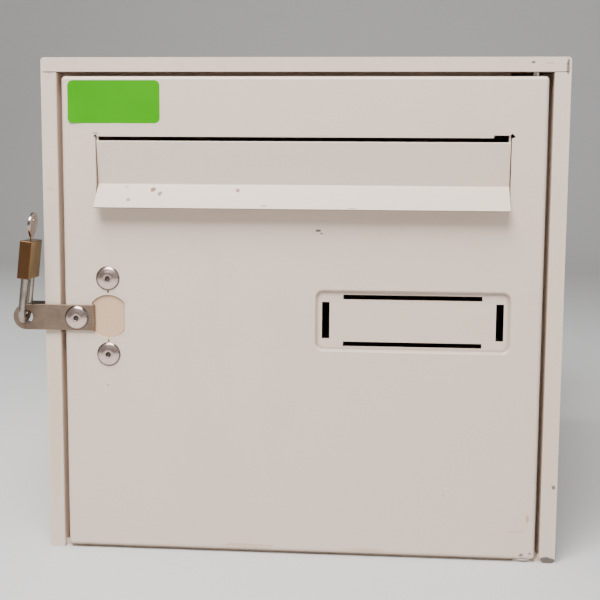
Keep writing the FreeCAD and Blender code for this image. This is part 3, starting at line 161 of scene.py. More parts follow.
class ShaderTree:
    """A material's nodes, with one method that makes any node and a Principled shader at the end."""

    def __init__(self, name: str) -> None:
        """Start an empty material.

        Args:
            name: the material's name.
        """
        self.material = bpy.data.materials.new(name)
        self.material.use_nodes = True
        self.nodes = self.material.node_tree.nodes
        self.links = self.material.node_tree.links
        self.shader = self.nodes["Principled BSDF"]
        place = self.make("ShaderNodeTexCoord")
        self.place = Value(self, place.outputs["Object"])
        parts = self.make("ShaderNodeSeparateXYZ", {}, Vector=self.place)
        self.x, self.y, self.z = (Value(self, parts.outputs[axis]) for axis in "XYZ")

    def make(self, kind: str, settings: Optional[dict[str, Any]] = None,
             **inputs: Any) -> bpy.types.Node:
        """Make any node.

        Args:
            kind: the node's type name.
            settings: properties set first, such as a Math node's operation.
            inputs: socket names, underscores for spaces, with values or links.
        Returns:
            The new node.
        """
        node = self.nodes.new(kind)
        for name, setting in (settings or {}).items():
            setattr(node, name, setting)
        for name, amount in inputs.items():
            self.feed(node.inputs[name.replace("_", " ")], amount)
        return node

    def feed(self, socket: bpy.types.NodeSocket, amount: Any) -> None:
        """Link a Value to a socket, or set the socket's own amount.

        Args:
            socket: the input to fill.
            amount: a Value, a number, a vector, or a colour of three numbers.
        """
        if isinstance(amount, Value):
            self.links.new(amount.socket, socket)
        elif isinstance(amount, tuple) and socket.type == "RGBA":
            socket.default_value = (*amount, 1.0)
        else:
            socket.default_value = amount

    def noise(self, scale: float, detail: float = 3.0, roughness: float = 0.5,
              stretch: Triple = (1.0, 1.0, 1.0), shift: float = 0.0) -> Value:
        """Fractal noise over the object's own coordinates.

        Args:
            scale: cells per metre.
            detail: octaves.
            roughness: how strong the fine octaves are.
            stretch: multiplies the coordinates before the noise.
            shift: moves the pattern, so that two noises differ.
        Returns:
            A value about 0.5.
        """
        moved = self.make("ShaderNodeMapping", {}, Vector=self.place)
        moved.inputs["Scale"].default_value = stretch
        moved.inputs["Location"].default_value = (shift, shift, shift)
        node = self.make("ShaderNodeTexNoise", {}, Vector=Value(self, moved.outputs[0]),
                         Scale=scale, Detail=detail, Roughness=roughness)
        return Value(self, node.outputs["Fac"])

    def cells(self, scale: float, shift: float = 0.0) -> Value:
        """Distance to the nearest of many scattered points.

        Args:
            scale: cells per metre.
            shift: moves the pattern.
        Returns:
            The distance, in cells of 1 / scale metres.
        """
        moved = self.make("ShaderNodeMapping", {}, Vector=self.place)
        moved.inputs["Location"].default_value = (shift, shift, shift)
        node = self.make("ShaderNodeTexVoronoi", {}, Vector=Value(self, moved.outputs[0]), Scale=scale)
        return Value(self, node.outputs["Distance"])

    def blend(self, factor: Number, first: Any, second: Any) -> Value:
        """Mix two colours.

        Args:
            factor: 0 gives the first colour, 1 the second.
            first: a colour or a Value.
            second: a colour or a Value.
        Returns:
            The mixed colour.
        """
        node = self.make("ShaderNodeMix", {"data_type": "RGBA"})
        self.feed(node.inputs["Factor"], factor)
        self.feed(node.inputs[MIX_FIRST], first)
        self.feed(node.inputs[MIX_SECOND], second)
        return Value(self, node.outputs[MIX_RESULT])

    def relief(self, height: Value, depth: float, strength: float = 1.0) -> None:
        """Bump the surface.

        Args:
            height: from about 0 to 1.
            depth: how many metres a height of 1 stands for.
            strength: of the bump.
        """
        node = self.make("ShaderNodeBump", {}, Height=height, Strength=strength, Distance=depth)
        self.links.new(node.outputs[0], self.shader.inputs["Normal"])

    def spot(self, across: Value, along: Value, centre: tuple[float, float],
             reach: tuple[float, float], wobble: Value) -> Value:
        """A ragged spot.

        Args:
            across: first coordinate.
            along: second coordinate.
            centre: the spot's middle in those coordinates.
            reach: its half sizes.
            wobble: a noise that makes its edge uneven.
        Returns:
            1 inside the spot, 0 outside.
        """
        u = (across - centre[0]) / reach[0]
        v = (along - centre[1]) / reach[1]
        raggedness = 1.3
        distance = (u * u + v * v) ** 0.5 + (wobble - 0.5) * raggedness
        return distance.ramp(1.05, 0.75)


# ---------------- finishes


@dataclass(frozen=True)
class Mark:
    """A small mark on a painted face: X and Z in metres, half sizes in millimetres."""

    x: float
    z: float
    wide: float
    high: float
    colour: Colour
    strength: float = 1.0


RUST: Colour = (0.20, 0.055, 0.018)
BARE: Colour = (0.055, 0.048, 0.042)
PALE_RUST: Colour = (0.50, 0.24, 0.10)
YELLOWED: Colour = (0.66, 0.46, 0.27)
CUTOUT_SHADOW: Colour = (0.13, 0.085, 0.06)
# Painted shade for the rim of the nameplate recess.
RECESS_RIM_SHADE: Colour = (0.34, 0.25, 0.20)
# Painted shade for the dark lower edge of the flap's lip.
LOWER_EDGE_SHADE: Colour = (0.20, 0.15, 0.12)
# Painted shade for the dark ring round a rivet's rim.
RIVET_RIM_SHADE: Colour = (0.05, 0.036, 0.03)
RECESS_CORNER = 5.0 * MM


@dataclass(frozen=True)
class PaintFinish:
    """Old powder coat on steel: fine texture, grime, yellowing, scratches and chips, with painted
    shade where asked: round a cutout, along a recess's rim and along a lower edge.

    Attributes:
        specks: how strong the small dark chips are.
        ring: centre X, centre Z and radius of a faint ring on the face.
        cutout: centre X, centre Z, radius and half width of a flatted hole that shades this part.
        recess: left, right, lower and upper sides of a pressed recess, with painted shade along its
            rims.
        shade_below: height of a lower edge that is darkened with painted shade.
    """

    name: str
    colour: Colour
    roughness: float = 0.42
    yellow: float = 0.25
    grime: float = 0.25
    specks: float = 1.0
    marks: tuple[Mark, ...] = ()
    ring: Optional[tuple[float, float, float]] = None
    cutout: Optional[tuple[float, float, float, float]] = None
    recess: Optional[tuple[float, float, float, float]] = None
    shade_below: Optional[float] = None

    def build(self) -> bpy.types.Material:
        """Make the material.

        Returns:
            The painted material.
        """
        tree = ShaderTree(self.name)
        red, green, blue = self.colour
        warm = (red * 0.97, green * 0.91, blue * 0.80)
        dull = (red * 0.80, green * 0.785, blue * 0.76)
        cloud = tree.noise(5.5, 4.0)
        stain = tree.noise(13.0, 5.0, 0.6, (1.0, 1.0, 0.45), 3.1)
        smear = tree.noise(38.0, 4.0, 0.62, (1.0, 1.0, 0.22), 7.7)
        colour = tree.blend(cloud.ramp(0.42, 0.72) * self.yellow, self.colour, warm)
        colour = tree.blend(stain.ramp(0.50, 0.78) * self.grime, colour, dull)
        colour = tree.blend(smear.ramp(0.60, 0.80) * (self.grime * 0.7), colour, warm)
        scratch = tree.noise(60.0, 2.0, 0.5, (1.0, 1.0, 14.0), 1.7)
        scratch_band = tree.noise(9.0, 2.0, shift=9.2)
        scratches = scratch.ramp(0.735, 0.755) * scratch_band.ramp(0.55, 0.65)
        colour = tree.blend(scratches * 0.35, colour, dull)
        dots = tree.cells(120.0, 0.37).ramp(0.085, 0.05)
        dots = dots * tree.noise(21.0, 2.0, shift=4.4).ramp(0.66, 0.70)
        colour = tree.blend(dots * (0.8 * self.specks), colour, BARE)
        wobble = tree.noise(420.0, 3.0, 0.6)
        chipped = dots * self.specks
        if self.ring:
            colour = self.draw_ring(tree, colour, dull)
        if self.cutout:
            colour = self.shade_cutout(tree, colour)
        if self.recess:
            colour = self.shade_recess_rim(tree, colour, warm, smear, stain)
        # Painted shade: a darker band along the lower edge, up to about 0.75 mm above the given
        # height.
        if self.shade_below is not None:
            edge_shade = (tree.z - self.shade_below).ramp(0.75 * MM, 0.25 * MM)
            colour = tree.blend(edge_shade * 0.75, colour, LOWER_EDGE_SHADE)
        for mark in self.marks:
            reach = (mark.wide * MM, mark.high * MM)
            shape = tree.spot(tree.x, tree.z, (mark.x, mark.z), reach, wobble)
            colour = tree.blend(shape * mark.strength, colour, mark.colour)
            chipped = shape.most(chipped)
        tree.feed(tree.shader.inputs["Base Color"], colour)
        gloss = (stain - 0.5) * 0.22 + (smear - 0.5) * 0.10 + self.roughness
        tree.feed(tree.shader.inputs["Roughness"], gloss + chipped * 0.3)
        tree.shader.inputs["Coat Weight"].default_value = 0.12
        tree.shader.inputs["Coat Roughness"].default_value = 0.25
        peel = tree.noise(900.0, 2.0) * 0.5 + tree.noise(260.0, 2.0, shift=5.0) * 0.5
        tree.relief(peel - chipped * 1.6, 0.035 * MM, 0.55)
        return tree.material

    def draw_ring(self, tree: ShaderTree, colour: Value, dull: Colour) -> Value:
        """A faint worn ring.

        Args:
            tree: the material being made.
            colour: its colour so far.
            dull: the ring's colour.
        Returns:
            The colour with the ring.
        """
        centre_x, centre_z, radius = self.ring
        u, v = tree.x - centre_x, tree.z - centre_z
        away = ((u * u + v * v) ** 0.5 - radius).size()
        # A faint ring of wear.
        return tree.blend(away.ramp(1.3 * MM, 0.2 * MM) * 0.16, colour, dull)

    def shade_cutout(self, tree: ShaderTree, colour: Value) -> Value:
        """The shade that a flatted hole's rim throws on the plate behind it.

        Args:
            tree: the material being made.
            colour: its colour so far.
        Returns:
            The shaded colour.
        """
        centre_x, centre_z, radius, flat = self.cutout
        u, v = tree.x - centre_x, tree.z - centre_z
        beyond = ((u * u + v * v) ** 0.5 - radius).most(u.size() - flat)
        upper = (v + u * 0.5 + 9.0 * MM).ramp(-4.0 * MM, 4.0 * MM)
        shadow = beyond.ramp(-0.75 * MM, -0.15 * MM) * upper
        return tree.blend(shadow * 0.8, colour, CUTOUT_SHADOW)

    def shade_recess_rim(self, tree: ShaderTree, colour: Value, warm: Colour, smear: Value,
                    stain: Value) -> Value:
        """Painted shade along a recess's rim, and a warmer stain patch inside it.

        Args:
            tree: the material being made.
            colour: its colour so far.
            warm: the colour of the patch.
            smear: noise that varies the painted shade.
            stain: noise that varies the patch.
        Returns:
            The soiled colour.
        """
        left, right, low, high = self.recess
        half_wide = (right - left) / 2 - RECESS_CORNER
        half_high = (high - low) / 2 - RECESS_CORNER
        u = ((tree.x - (left + right) / 2).size() - half_wide).most(0.0)
        v = ((tree.z - (low + high) / 2).size() - half_high).most(0.0)
        rim = (u * u + v * v) ** 0.5 - RECESS_CORNER
        # Painted shade: a darker band along the recess's rounded rim.
        rim_shade = rim.ramp(-2.4 * MM, -0.9 * MM) * rim.ramp(0.7 * MM, -0.3 * MM)
        colour = tree.blend(rim_shade * (smear * 0.5 + 0.22), colour, RECESS_RIM_SHADE)
        inside = rim.ramp(-1.0 * MM, -2.5 * MM) * stain.ramp(0.45, 0.62)
        return tree.blend(inside * 0.35, colour, warm)


@dataclass(frozen=True)
class MetalFinish:
    """Bare or plated metal with a brushed grain, stains and a little corrosion, with painted light on
    one side and painted shade round a rivet's rim where asked.

    Attributes:
        grain: multiplies the coordinates of the brushed lines.
        relief: depth of the grain, in millimetres.
        lit_flank: colour of a leaning part's left side, if it differs: painted light, a lighter copy
            of the metal where light falls on that side.
        flank_start: X where that side begins, at Z = 0.
        lean: angle of that side from upright.
        seat: Y of the face that a rivet sits on; the rivet's rim next to it gets a dark ring of
            painted shade.
    """

    name: str
    colour: Colour
    dark: Colour
    roughness: float = 0.3
    grain: Triple = (1.0, 1.0, 12.0)
    stain: float = 0.4
    relief: float = 0.02
    metallic: float = 1.0
    lit_flank: Optional[Colour] = None
    flank_start: float = 0.0
    lean: float = 0.0
    seat: Optional[float] = None

    def build(self) -> bpy.types.Material:
        """Make the material.

        Returns:
            The metal material.
        """
        tree = ShaderTree(self.name)
        lines = tree.noise(420.0, 3.0, 0.6, self.grain)
        cloud = tree.noise(70.0, 4.0, 0.6, shift=2.3)
        pits = tree.cells(900.0, 1.1).ramp(0.16, 0.08) * cloud.ramp(0.50, 0.62)
        colour = tree.blend(cloud.ramp(0.40, 0.72) * self.stain, self.colour, self.dark)
        colour = tree.blend(lines.ramp(0.45, 0.75) * 0.25, colour, self.dark)
        colour = tree.blend(pits * (self.stain * 0.8), colour, self.dark)
        # Painted light: the left side gets a lighter, yellower copy of the metal's colour, mottled by
        # the stain noise.
        if self.lit_flank:
            across = tree.x - tree.z * math.tan(self.lean) - self.flank_start
            side = across.ramp(-0.25 * MM, 0.05 * MM)
            lit_flank_stained = tree.blend(cloud.ramp(0.40, 0.72) * 0.4, self.lit_flank, self.colour)
            colour = tree.blend(side, colour, lit_flank_stained)
        if self.seat is not None:
            # Painted shade: a dark ring on the rivet's low rim, next to the face it sits on.
            rim = (tree.y - self.seat).ramp(-1.15 * MM, -0.45 * MM)
            colour = tree.blend(rim * 0.9, colour, RIVET_RIM_SHADE)
        tree.feed(tree.shader.inputs["Base Color"], colour)
        tree.shader.inputs["Metallic"].default_value = self.metallic
        gloss = (lines - 0.5) * 0.25 + (cloud - 0.5) * 0.3 + self.roughness
        tree.feed(tree.shader.inputs["Roughness"], gloss)
        tree.relief(lines - pits, self.relief * MM, 0.7)
        return tree.material


@dataclass(frozen=True)
class PlasticFinish:
    """Moulded nylon or a printed paper label, told apart by their grain.

    Attributes:
        grain: fibres per metre.
        painted_glow: strength of a faint emission in the part's own colour, painted light with no lamp
            behind it.
    """

    name: str
    colour: Colour
    shade: Colour
    roughness: float = 0.5
    grain: float = 500.0
    painted_glow: float = 0.0
    specular: float = 0.5

    def build(self) -> bpy.types.Material:
        """Make the material.

        Returns:
            The plastic or paper material.
        """
        tree = ShaderTree(self.name)
        cloud = tree.noise(45.0, 4.0, 0.6)
        fibre = tree.noise(self.grain, 3.0, 0.7)
        colour = tree.blend(cloud.ramp(0.35, 0.75) * 0.45, self.colour, self.shade)
        colour = tree.blend(fibre.ramp(0.5, 0.8) * 0.15, colour, self.shade)
        tree.feed(tree.shader.inputs["Base Color"], colour)
        tree.feed(tree.shader.inputs["Roughness"], (fibre - 0.5) * 0.2 + self.roughness)
        # Painted light: the part shines faintly in its own colour.
        if self.painted_glow:
            tree.feed(tree.shader.inputs["Emission Color"], colour)
            tree.shader.inputs["Emission Strength"].default_value = self.painted_glow
        tree.shader.inputs["Specular IOR Level"].default_value = self.specular
        tree.relief(fibre, 0.02 * MM, 0.5)
        return tree.material


Finish = Union[PaintFinish, MetalFinish, PlasticFinish]


# ---------------- mesh helpers

SHARP_ANGLE = 1.2
COIL_STEPS = 14


class Facing(Enum):
    """Which way a turned piece's axis points away from its seat."""

    FRONT = (0.0, -1.0, 0.0)
    LEFT = (-1.0, 0.0, 0.0)


def turned(profile: Sequence[tuple[float, float]], steps: int = 48) -> bmesh.types.BMesh:
    """Spin an open outline of (radius, height) points about Z.

    Args:
        profile: outline from one end to the other.
        steps: facets round the axis.
    Returns:
        A closed or open surface of revolution about Z.
    """
    mesh = bmesh.new()
    corners = [mesh.verts.new((radius, 0.0, height)) for radius, height in profile]
    for first, second in zip(corners, corners[1:]):
        mesh.edges.new((first, second))
    bmesh.ops.spin(mesh, geom=mesh.verts[:] + mesh.edges[:], axis=(0, 0, 1), cent=(0, 0, 0),
                   angle=math.tau, steps=steps, use_merge=True)
    bmesh.ops.remove_doubles(mesh, verts=mesh.verts, dist=0.0005 * MM)
    bmesh.ops.recalc_face_normals(mesh, faces=mesh.faces)
    return mesh


def soften(mesh: bmesh.types.BMesh, edges: Sequence[bmesh.types.BMEdge], width: float) -> None:
    """Bevel the given edges with a round profile."""
    bmesh.ops.bevel(mesh, geom=list(edges), offset=width, offset_type="OFFSET", segments=3,
                    profile=0.5, affect="EDGES", clamp_overlap=True, material=-1)


def face_forward(mesh: bmesh.types.BMesh) -> None:
    """Make the faces of a flat sheet point to -Y.

    Args:
        mesh: a sheet that lies near an XZ plane.
    """
    bmesh.ops.recalc_face_normals(mesh, faces=mesh.faces)
    if sum(face.normal.y for face in mesh.faces) > 0:
        bmesh.ops.reverse_faces(mesh, faces=mesh.faces)


def plate(outline: Sequence[tuple[float, float]], thickness: float, rounding: float,
          holes: Sequence[Triple] = ()) -> bmesh.types.BMesh:
    """A flat plate in X and Z, its front at Y = 0 and its back at Y = thickness.

    Args:
        outline: corners in X and Z, in order.
        thickness: along +Y.
        rounding: bevel of every rim.
        holes: centres and radii of round holes.
    Returns:
        The bevelled plate.
    """
    mesh = bmesh.new()
    rim = [mesh.verts.new((x, 0.0, z)) for x, z in outline]
    for x, z, radius in holes:
        seat = Matrix.Translation((x, 0, z)) @ Matrix.Rotation(math.pi / 2, 4, "X")
        bmesh.ops.create_circle(mesh, segments=32, radius=radius, matrix=seat)
    for corner, following in zip(rim, rim[1:] + rim[:1]):
        mesh.edges.new((corner, following))
    bmesh.ops.triangle_fill(mesh, use_beauty=True, edges=mesh.edges[:])
    face_forward(mesh)
    grown = bmesh.ops.extrude_face_region(mesh, geom=mesh.faces[:])
    moved = [item for item in grown["geom"] if isinstance(item, bmesh.types.BMVert)]
    bmesh.ops.translate(mesh, verts=moved, vec=(0, thickness, 0))
    bmesh.ops.recalc_face_normals(mesh, faces=mesh.faces)
    sharp = [edge for edge in mesh.edges
             if edge.is_manifold and edge.calc_face_angle(0.0) > SHARP_ANGLE]
    soften(mesh, sharp, rounding)
    return mesh


def face_to(mesh: bmesh.types.BMesh, facing: Facing, seat: Sequence[float]) -> bmesh.types.BMesh:
    """Turn a piece made about Z and set its base on its seat.

    Args:
        mesh: the piece.
        facing: where its +Z goes.
        seat: where its origin goes.
    Returns:
        The same mesh.
    """
    turn = Vector((0, 0, 1)).rotation_difference(Vector(facing.value)).to_matrix().to_4x4()
    bmesh.ops.transform(mesh, matrix=Matrix.Translation(seat) @ turn, verts=mesh.verts)
    return mesh


def join(target: bmesh.types.BMesh, part: bmesh.types.BMesh) -> None:
    """Add a bmesh to another.

    Args:
        target: the mesh that grows.
        part: the mesh that is added; it is freed.
    """
    carrier = bpy.data.meshes.new("carrier")
    part.to_mesh(carrier)
    part.free()
    target.from_mesh(carrier)
    bpy.data.meshes.remove(carrier)


def rivet_shape(radius: float, height: float, bore: float, shank: float) -> bmesh.types.BMesh:
    """A pulled rivet about Z: flange and boss above 0, shank and tail below.

    Args:
        radius: of the flange.
        height: of the head.
        bore: radius of the mandrel hole.
        shank: length below the seat.
    Returns:
        The rivet, closed, with its mandrel hole open at the top.
    """
    boss = radius * 0.52
    stem = radius * 0.34
    hole = [(0.0, height * 0.25), (bore * 0.96, height * 0.25), (bore, height * 0.35),
            (bore, height * 0.90)]
    lip = [(bore * 1.10, height * 0.985), (bore * 1.30, height), (boss * 0.80, height * 0.985),
           (boss, height * 0.91), (boss * 1.14, height * 0.80)]
    flange = [(radius * 0.72, height * 0.68), (radius * 0.86, height * 0.50),
              (radius * 0.955, height * 0.27), (radius, height * 0.10), (radius * 0.99, 0.0)]
    tail = [(stem, 0.0), (stem, -shank * 0.45), (stem * 1.45, -shank * 0.55),
            (stem * 1.55, -shank * 0.75), (stem * 1.30, -shank * 0.93), (0.0, -shank)]
    return turned(hole + lip + flange + tail, 56)


def rounded(left: float, right: float, low: float, high: float, radius: float,
            steps: int = 6) -> list[tuple[float, float]]:
    """Corners of a rectangle with round corners, counter-clockwise from the lower left.

    Args:
        left: lowest first coordinate.
        right: highest first coordinate.
        low: lowest second coordinate.
        high: highest second coordinate.
        radius: of the corners.
        steps: chords in each corner.
    Returns:
        The outline's points.
    """
    points = []
    centres = (
        (left + radius, low + radius, math.pi),
        (right - radius, low + radius, 1.5 * math.pi),
        (right - radius, high - radius, 0.0),
        (left + radius, high - radius, 0.5 * math.pi),
    )
    for u, v, start in centres:
        for step in range(steps + 1):
            angle = start + step / steps * math.pi / 2
            points.append((u + radius * math.cos(angle), v + radius * math.sin(angle)))
    return points


def spring(radius: float, wire: float, length: float, turns: int) -> bmesh.types.BMesh:
    """A round-wire coil spring along +Z from the origin.

    Args:
        radius: of the coil's centre line.
        wire: radius of the wire.
        length: of the whole spring.
        turns: number of coils.
    Returns:
        The capped spring.
    """
    mesh = bmesh.new()
    start = Matrix.Translation((radius, 0, wire)) @ Matrix.Rotation(math.pi / 2, 4, "X")
    bmesh.ops.create_circle(mesh, segments=8, radius=wire, cap_ends=True, matrix=start)
    steps = COIL_STEPS * turns
    bmesh.ops.spin(mesh, geom=mesh.edges[:], axis=(0, 0, 1), cent=(0, 0, 0),
                   angle=math.tau * turns, steps=steps, dvec=(0, 0, (length - 2 * wire) / steps),
                   use_merge=False)
    open_rim = [edge for edge in mesh.edges if edge.is_boundary]
    bmesh.ops.holes_fill(mesh, edges=open_rim, sides=0)
    bmesh.ops.recalc_face_normals(mesh, faces=mesh.faces)
    return mesh


def add_object(name: str, mesh: bmesh.types.BMesh, material: bpy.types.Material) -> bpy.types.Object:
    """Turn a bmesh into an object at the origin.

    Args:
        name: of the object and its mesh.
        mesh: its shape; it is freed.
        material: its one material.
    Returns:
        The new object.
    """
    data = bpy.data.meshes.new(name)
    mesh.to_mesh(data)
    mesh.free()
    data.materials.append(material)
    item = bpy.data.objects.new(name, data)
    bpy.context.scene.collection.objects.link(item)
    return item


@dataclass
class Workshop:
    """Keeps the finishes and turns meshes into pieces."""

    finishes: dict[str, bpy.types.Material] = field(default_factory=dict)

    def finish(self, spec: Finish) -> bpy.types.Material:
        """Build a finish once and remember it by name.

        Args:
            spec: the finish.
        Returns:
            Its material.
        """
        if spec.name not in self.finishes:
            self.finishes[spec.name] = spec.build()
        return self.finishes[spec.name]

    def dress(self, spec: Finish, *nodes: str) -> None:
        """Give CAD nodes a finish in place of their plain one.

        Args:
            spec: the finish.
            nodes: the CAD nodes.
        """
        for node in nodes:
            item = frame["nodes"][node]
            item.data.materials.clear()
            item.data.materials.append(self.finish(spec))
            LOG.info("dressed %s with %s", node, spec.name)

    def piece(self, name: str, mesh: bmesh.types.BMesh, spec: Finish, body: str, slot: str,
              replaces: Sequence[str] = (), smooth: float = 35.0) -> bpy.types.Object:
        """Turn a bmesh into a piece of the object.

        Args:
            name: the piece's name.
            mesh: its shape, in the frame's own place.
            spec: its finish.
            body: the CAD body it rides on.
            slot: the record's material slot; not used.
            replaces: CAD nodes that it stands for.
            smooth: edges flatter than this many degrees are shaded smooth.
        Returns:
            The new object.
        """
        sharp = math.radians(smooth)
        for face in mesh.faces:
            face.smooth = True
        for edge in mesh.edges:
            edge.smooth = not (edge.is_manifold and edge.calc_face_angle(0.0) > sharp)
        item = add_object(name, mesh, self.finish(spec))
        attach(item, body)
        if replaces:
            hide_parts(*replaces)
        LOG.info("made %s: %d faces on %s", name, len(item.data.polygons), body)
        return item


# ---------------- finishes of this box


WHITE: Colour = (0.72, 0.585, 0.485)

DOOR_MARKS = (
    Mark(0.0105, 0.1925, 1.6, 0.7, BARE, 0.9),
    Mark(0.0125, 0.1908, 1.0, 0.6, BARE, 0.7),
    Mark(0.1335, 0.0265, 1.0, 2.6, PALE_RUST, 0.65),
    Mark(0.1265, 0.0185, 7.0, 0.7, PALE_RUST, 0.25),
    Mark(-0.0300, 0.0050, 16.0, 1.3, PALE_RUST, 0.30),
    Mark(0.0400, 0.0045, 12.0, 1.0, PALE_RUST, 0.25),
    Mark(0.1305, 0.0046, 1.4, 1.1, BARE, 0.75),
    Mark(0.1355, 0.0056, 0.9, 0.8, BARE, 0.7),
    Mark(-0.1185, 0.2470, 2.2, 0.8, BARE, 0.4),
    Mark(0.0845, 0.0390, 0.6, 0.6, BARE, 0.6),
    Mark(-0.1130, 0.1000, 0.6, 0.6, BARE, 0.5),
)
FLAP_MARKS = (
    Mark(-0.0850, 0.2150, 1.7, 1.3, RUST, 0.85),
    Mark(-0.0808, 0.2128, 1.3, 1.2, RUST, 0.75),
    Mark(-0.0985, 0.2092, 1.2, 1.0, RUST, 0.65),
    Mark(-0.0360, 0.2150, 1.4, 1.2, RUST, 0.70),
    Mark(-0.1010, 0.2165, 1.6, 0.5, RUST, 0.45),
    Mark(-0.0200, 0.2066, 1.6, 0.5, BARE, 0.50),
    Mark(0.0300, 0.2056, 3.0, 0.4, BARE, 0.40),
)
CASING_MARKS = (
    Mark(0.1290, 0.2870, 1.4, 0.7, BARE, 0.8),
    Mark(0.1478, 0.2862, 0.7, 0.7, BARE, 0.8),
    Mark(0.1455, 0.0018, 5.0, 2.2, BARE, 0.9),
    Mark(0.1480, 0.0455, 1.2, 1.3, BARE, 0.8),
    Mark(0.1480, 0.2845, 0.9, 4.4, BARE, 0.75),
    Mark(0.1385, 0.2865, 3.0, 0.6, PALE_RUST, 0.4),
    Mark(-0.1452, 0.2815, 3.6, 0.6, BARE, 0.45),
    Mark(-0.1455, 0.2790, 3.0, 1.2, PALE_RUST, 0.2),
    Mark(-0.1455, 0.0700, 3.5, 48.0, YELLOWED, 0.30),
    Mark(-0.1450, 0.2100, 3.0, 22.0, (0.66, 0.47, 0.29), 0.28),
    Mark(-0.1460, 0.2150, 3.0, 0.5, PALE_RUST, 0.3),
)


def paint(name: str, **changes: Any) -> PaintFinish:
    """The box's white paint under another name, with changes."""
    return PaintFinish(name, WHITE, **changes)


CASING_PAINT = paint("casing_paint", marks=CASING_MARKS, yellow=0.45, grime=0.35)
INNER_PAINT = paint("inner_paint", roughness=0.55, grime=0.6, yellow=0.5)
FLAP_PAINT = paint("flap_paint", marks=FLAP_MARKS, yellow=0.12, grime=0.30)
CREAM_PAINT = PaintFinish("cream_paint", (0.64, 0.43, 0.275), roughness=0.5, grime=0.3)
STRAP_STEEL = MetalFinish("strap_steel", (0.31, 0.225, 0.165), (0.16, 0.11, 0.085),
                          0.48, (0.15, 1.0, 3.0), 0.5)
# Dark steel; its dark tone is partly painted shade, darkening what shows through the strap's hole.
STAPLE_STEEL = MetalFinish("staple_steel", (0.22, 0.20, 0.18), (0.12, 0.10, 0.09), 0.5)
RIVET_STEEL = MetalFinish("rivet_steel", (0.76, 0.58, 0.52), (0.44, 0.31, 0.27),
                          0.25, (1.0, 1.0, 1.0), 0.22)
MANDREL_STEEL = MetalFinish("mandrel_steel", (0.10, 0.085, 0.075), (0.04, 0.03, 0.03),
                            0.7, stain=0.6, metallic=0.6)
BRIGHT_STEEL = MetalFinish("bright_steel", (0.62, 0.61, 0.59), (0.28, 0.27, 0.26),
                           0.28, (1.0, 1.0, 6.0), 0.3)
ZINC_STEEL = MetalFinish("zinc_steel", (0.58, 0.58, 0.57), (0.33, 0.33, 0.34),
                         0.38, (1.0, 1.0, 1.0), 0.5)
SHACKLE_STEEL = MetalFinish("shackle_steel", (0.46, 0.42, 0.37), (0.16, 0.12, 0.09),
                            0.2, (1.0, 1.0, 5.0), 0.5)
CASE_BRASS = MetalFinish("case_brass", (0.17, 0.085, 0.04), (0.09, 0.045, 0.02),
                         0.36, (4.0, 4.0, 0.4), 0.5, 0.03)
# Painted light: a lighter, yellower copy of the case's brass for its left side.
LIT_FLANK_BRASS: Colour = (0.22, 0.145, 0.035)
PLUG_BRASS = MetalFinish("plug_brass", (0.62, 0.47, 0.20), (0.30, 0.19, 0.07),
                         0.28, (1.0, 1.0, 1.0), 0.4)
KEY_STEEL = MetalFinish("key_steel", (0.42, 0.36, 0.33), (0.16, 0.12, 0.11),
                        0.2, (1.0, 1.0, 3.0), 0.45)
NYLON = PlasticFinish("nylon", (0.70, 0.68, 0.62), (0.55, 0.52, 0.45), 0.45)
# The green label shines faintly in its own colour: painted light.
GREEN_PAPER = PlasticFinish("green_paper", (0.045, 0.32, 0.0), (0.03, 0.27, 0.0), 0.75, 1400.0,
                            0.04, 0.05)


PAPER: Colour = (0.60, 0.595, 0.59)
SKY: Colour = (1.0, 0.985, 0.96)

# ---------------- sub-assemblies


@dataclass
class Casing:
    """The folded outer box, its staple and its hinge pins."""

    shop: Workshop
    body: str = "casing"

    def build(self) -> None:
        """Dress the CAD sheets and make the staple's rivets."""
        self.shop.dress(CASING_PAINT, "casing_wrapper", "back_panel")
        self.shop.dress(INNER_PAINT, "floor_panel")
        self.shop.dress(STAPLE_STEEL, "hasp_staple")
        self.shop.dress(BRIGHT_STEEL, "upper_hinge_pin", "lower_hinge_pin")
        self.make_staple_rivets()

    def make_staple_rivets(self) -> None:
        """Two small domed rivets side by side on the staple's plate."""
        low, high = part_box("staple_rivets")
        radius = (high.z - low.z) / 2
        head_height = 1.2 * MM
        bore = 0.8 * MM
        seat_x = low.x + head_height
        level = (low.z + high.z) / 2
        both = bmesh.new()
        for along in (low.y + radius, high.y - radius):
            rivet = rivet_shape(radius, head_height, bore, high.x - seat_x)
            join(both, face_to(rivet, Facing.LEFT, (seat_x, along, level)))
        self.shop.piece("staple_rivet_pair", both, RIVET_STEEL, self.body, "rivet_steel",
                        ("staple_rivets",))


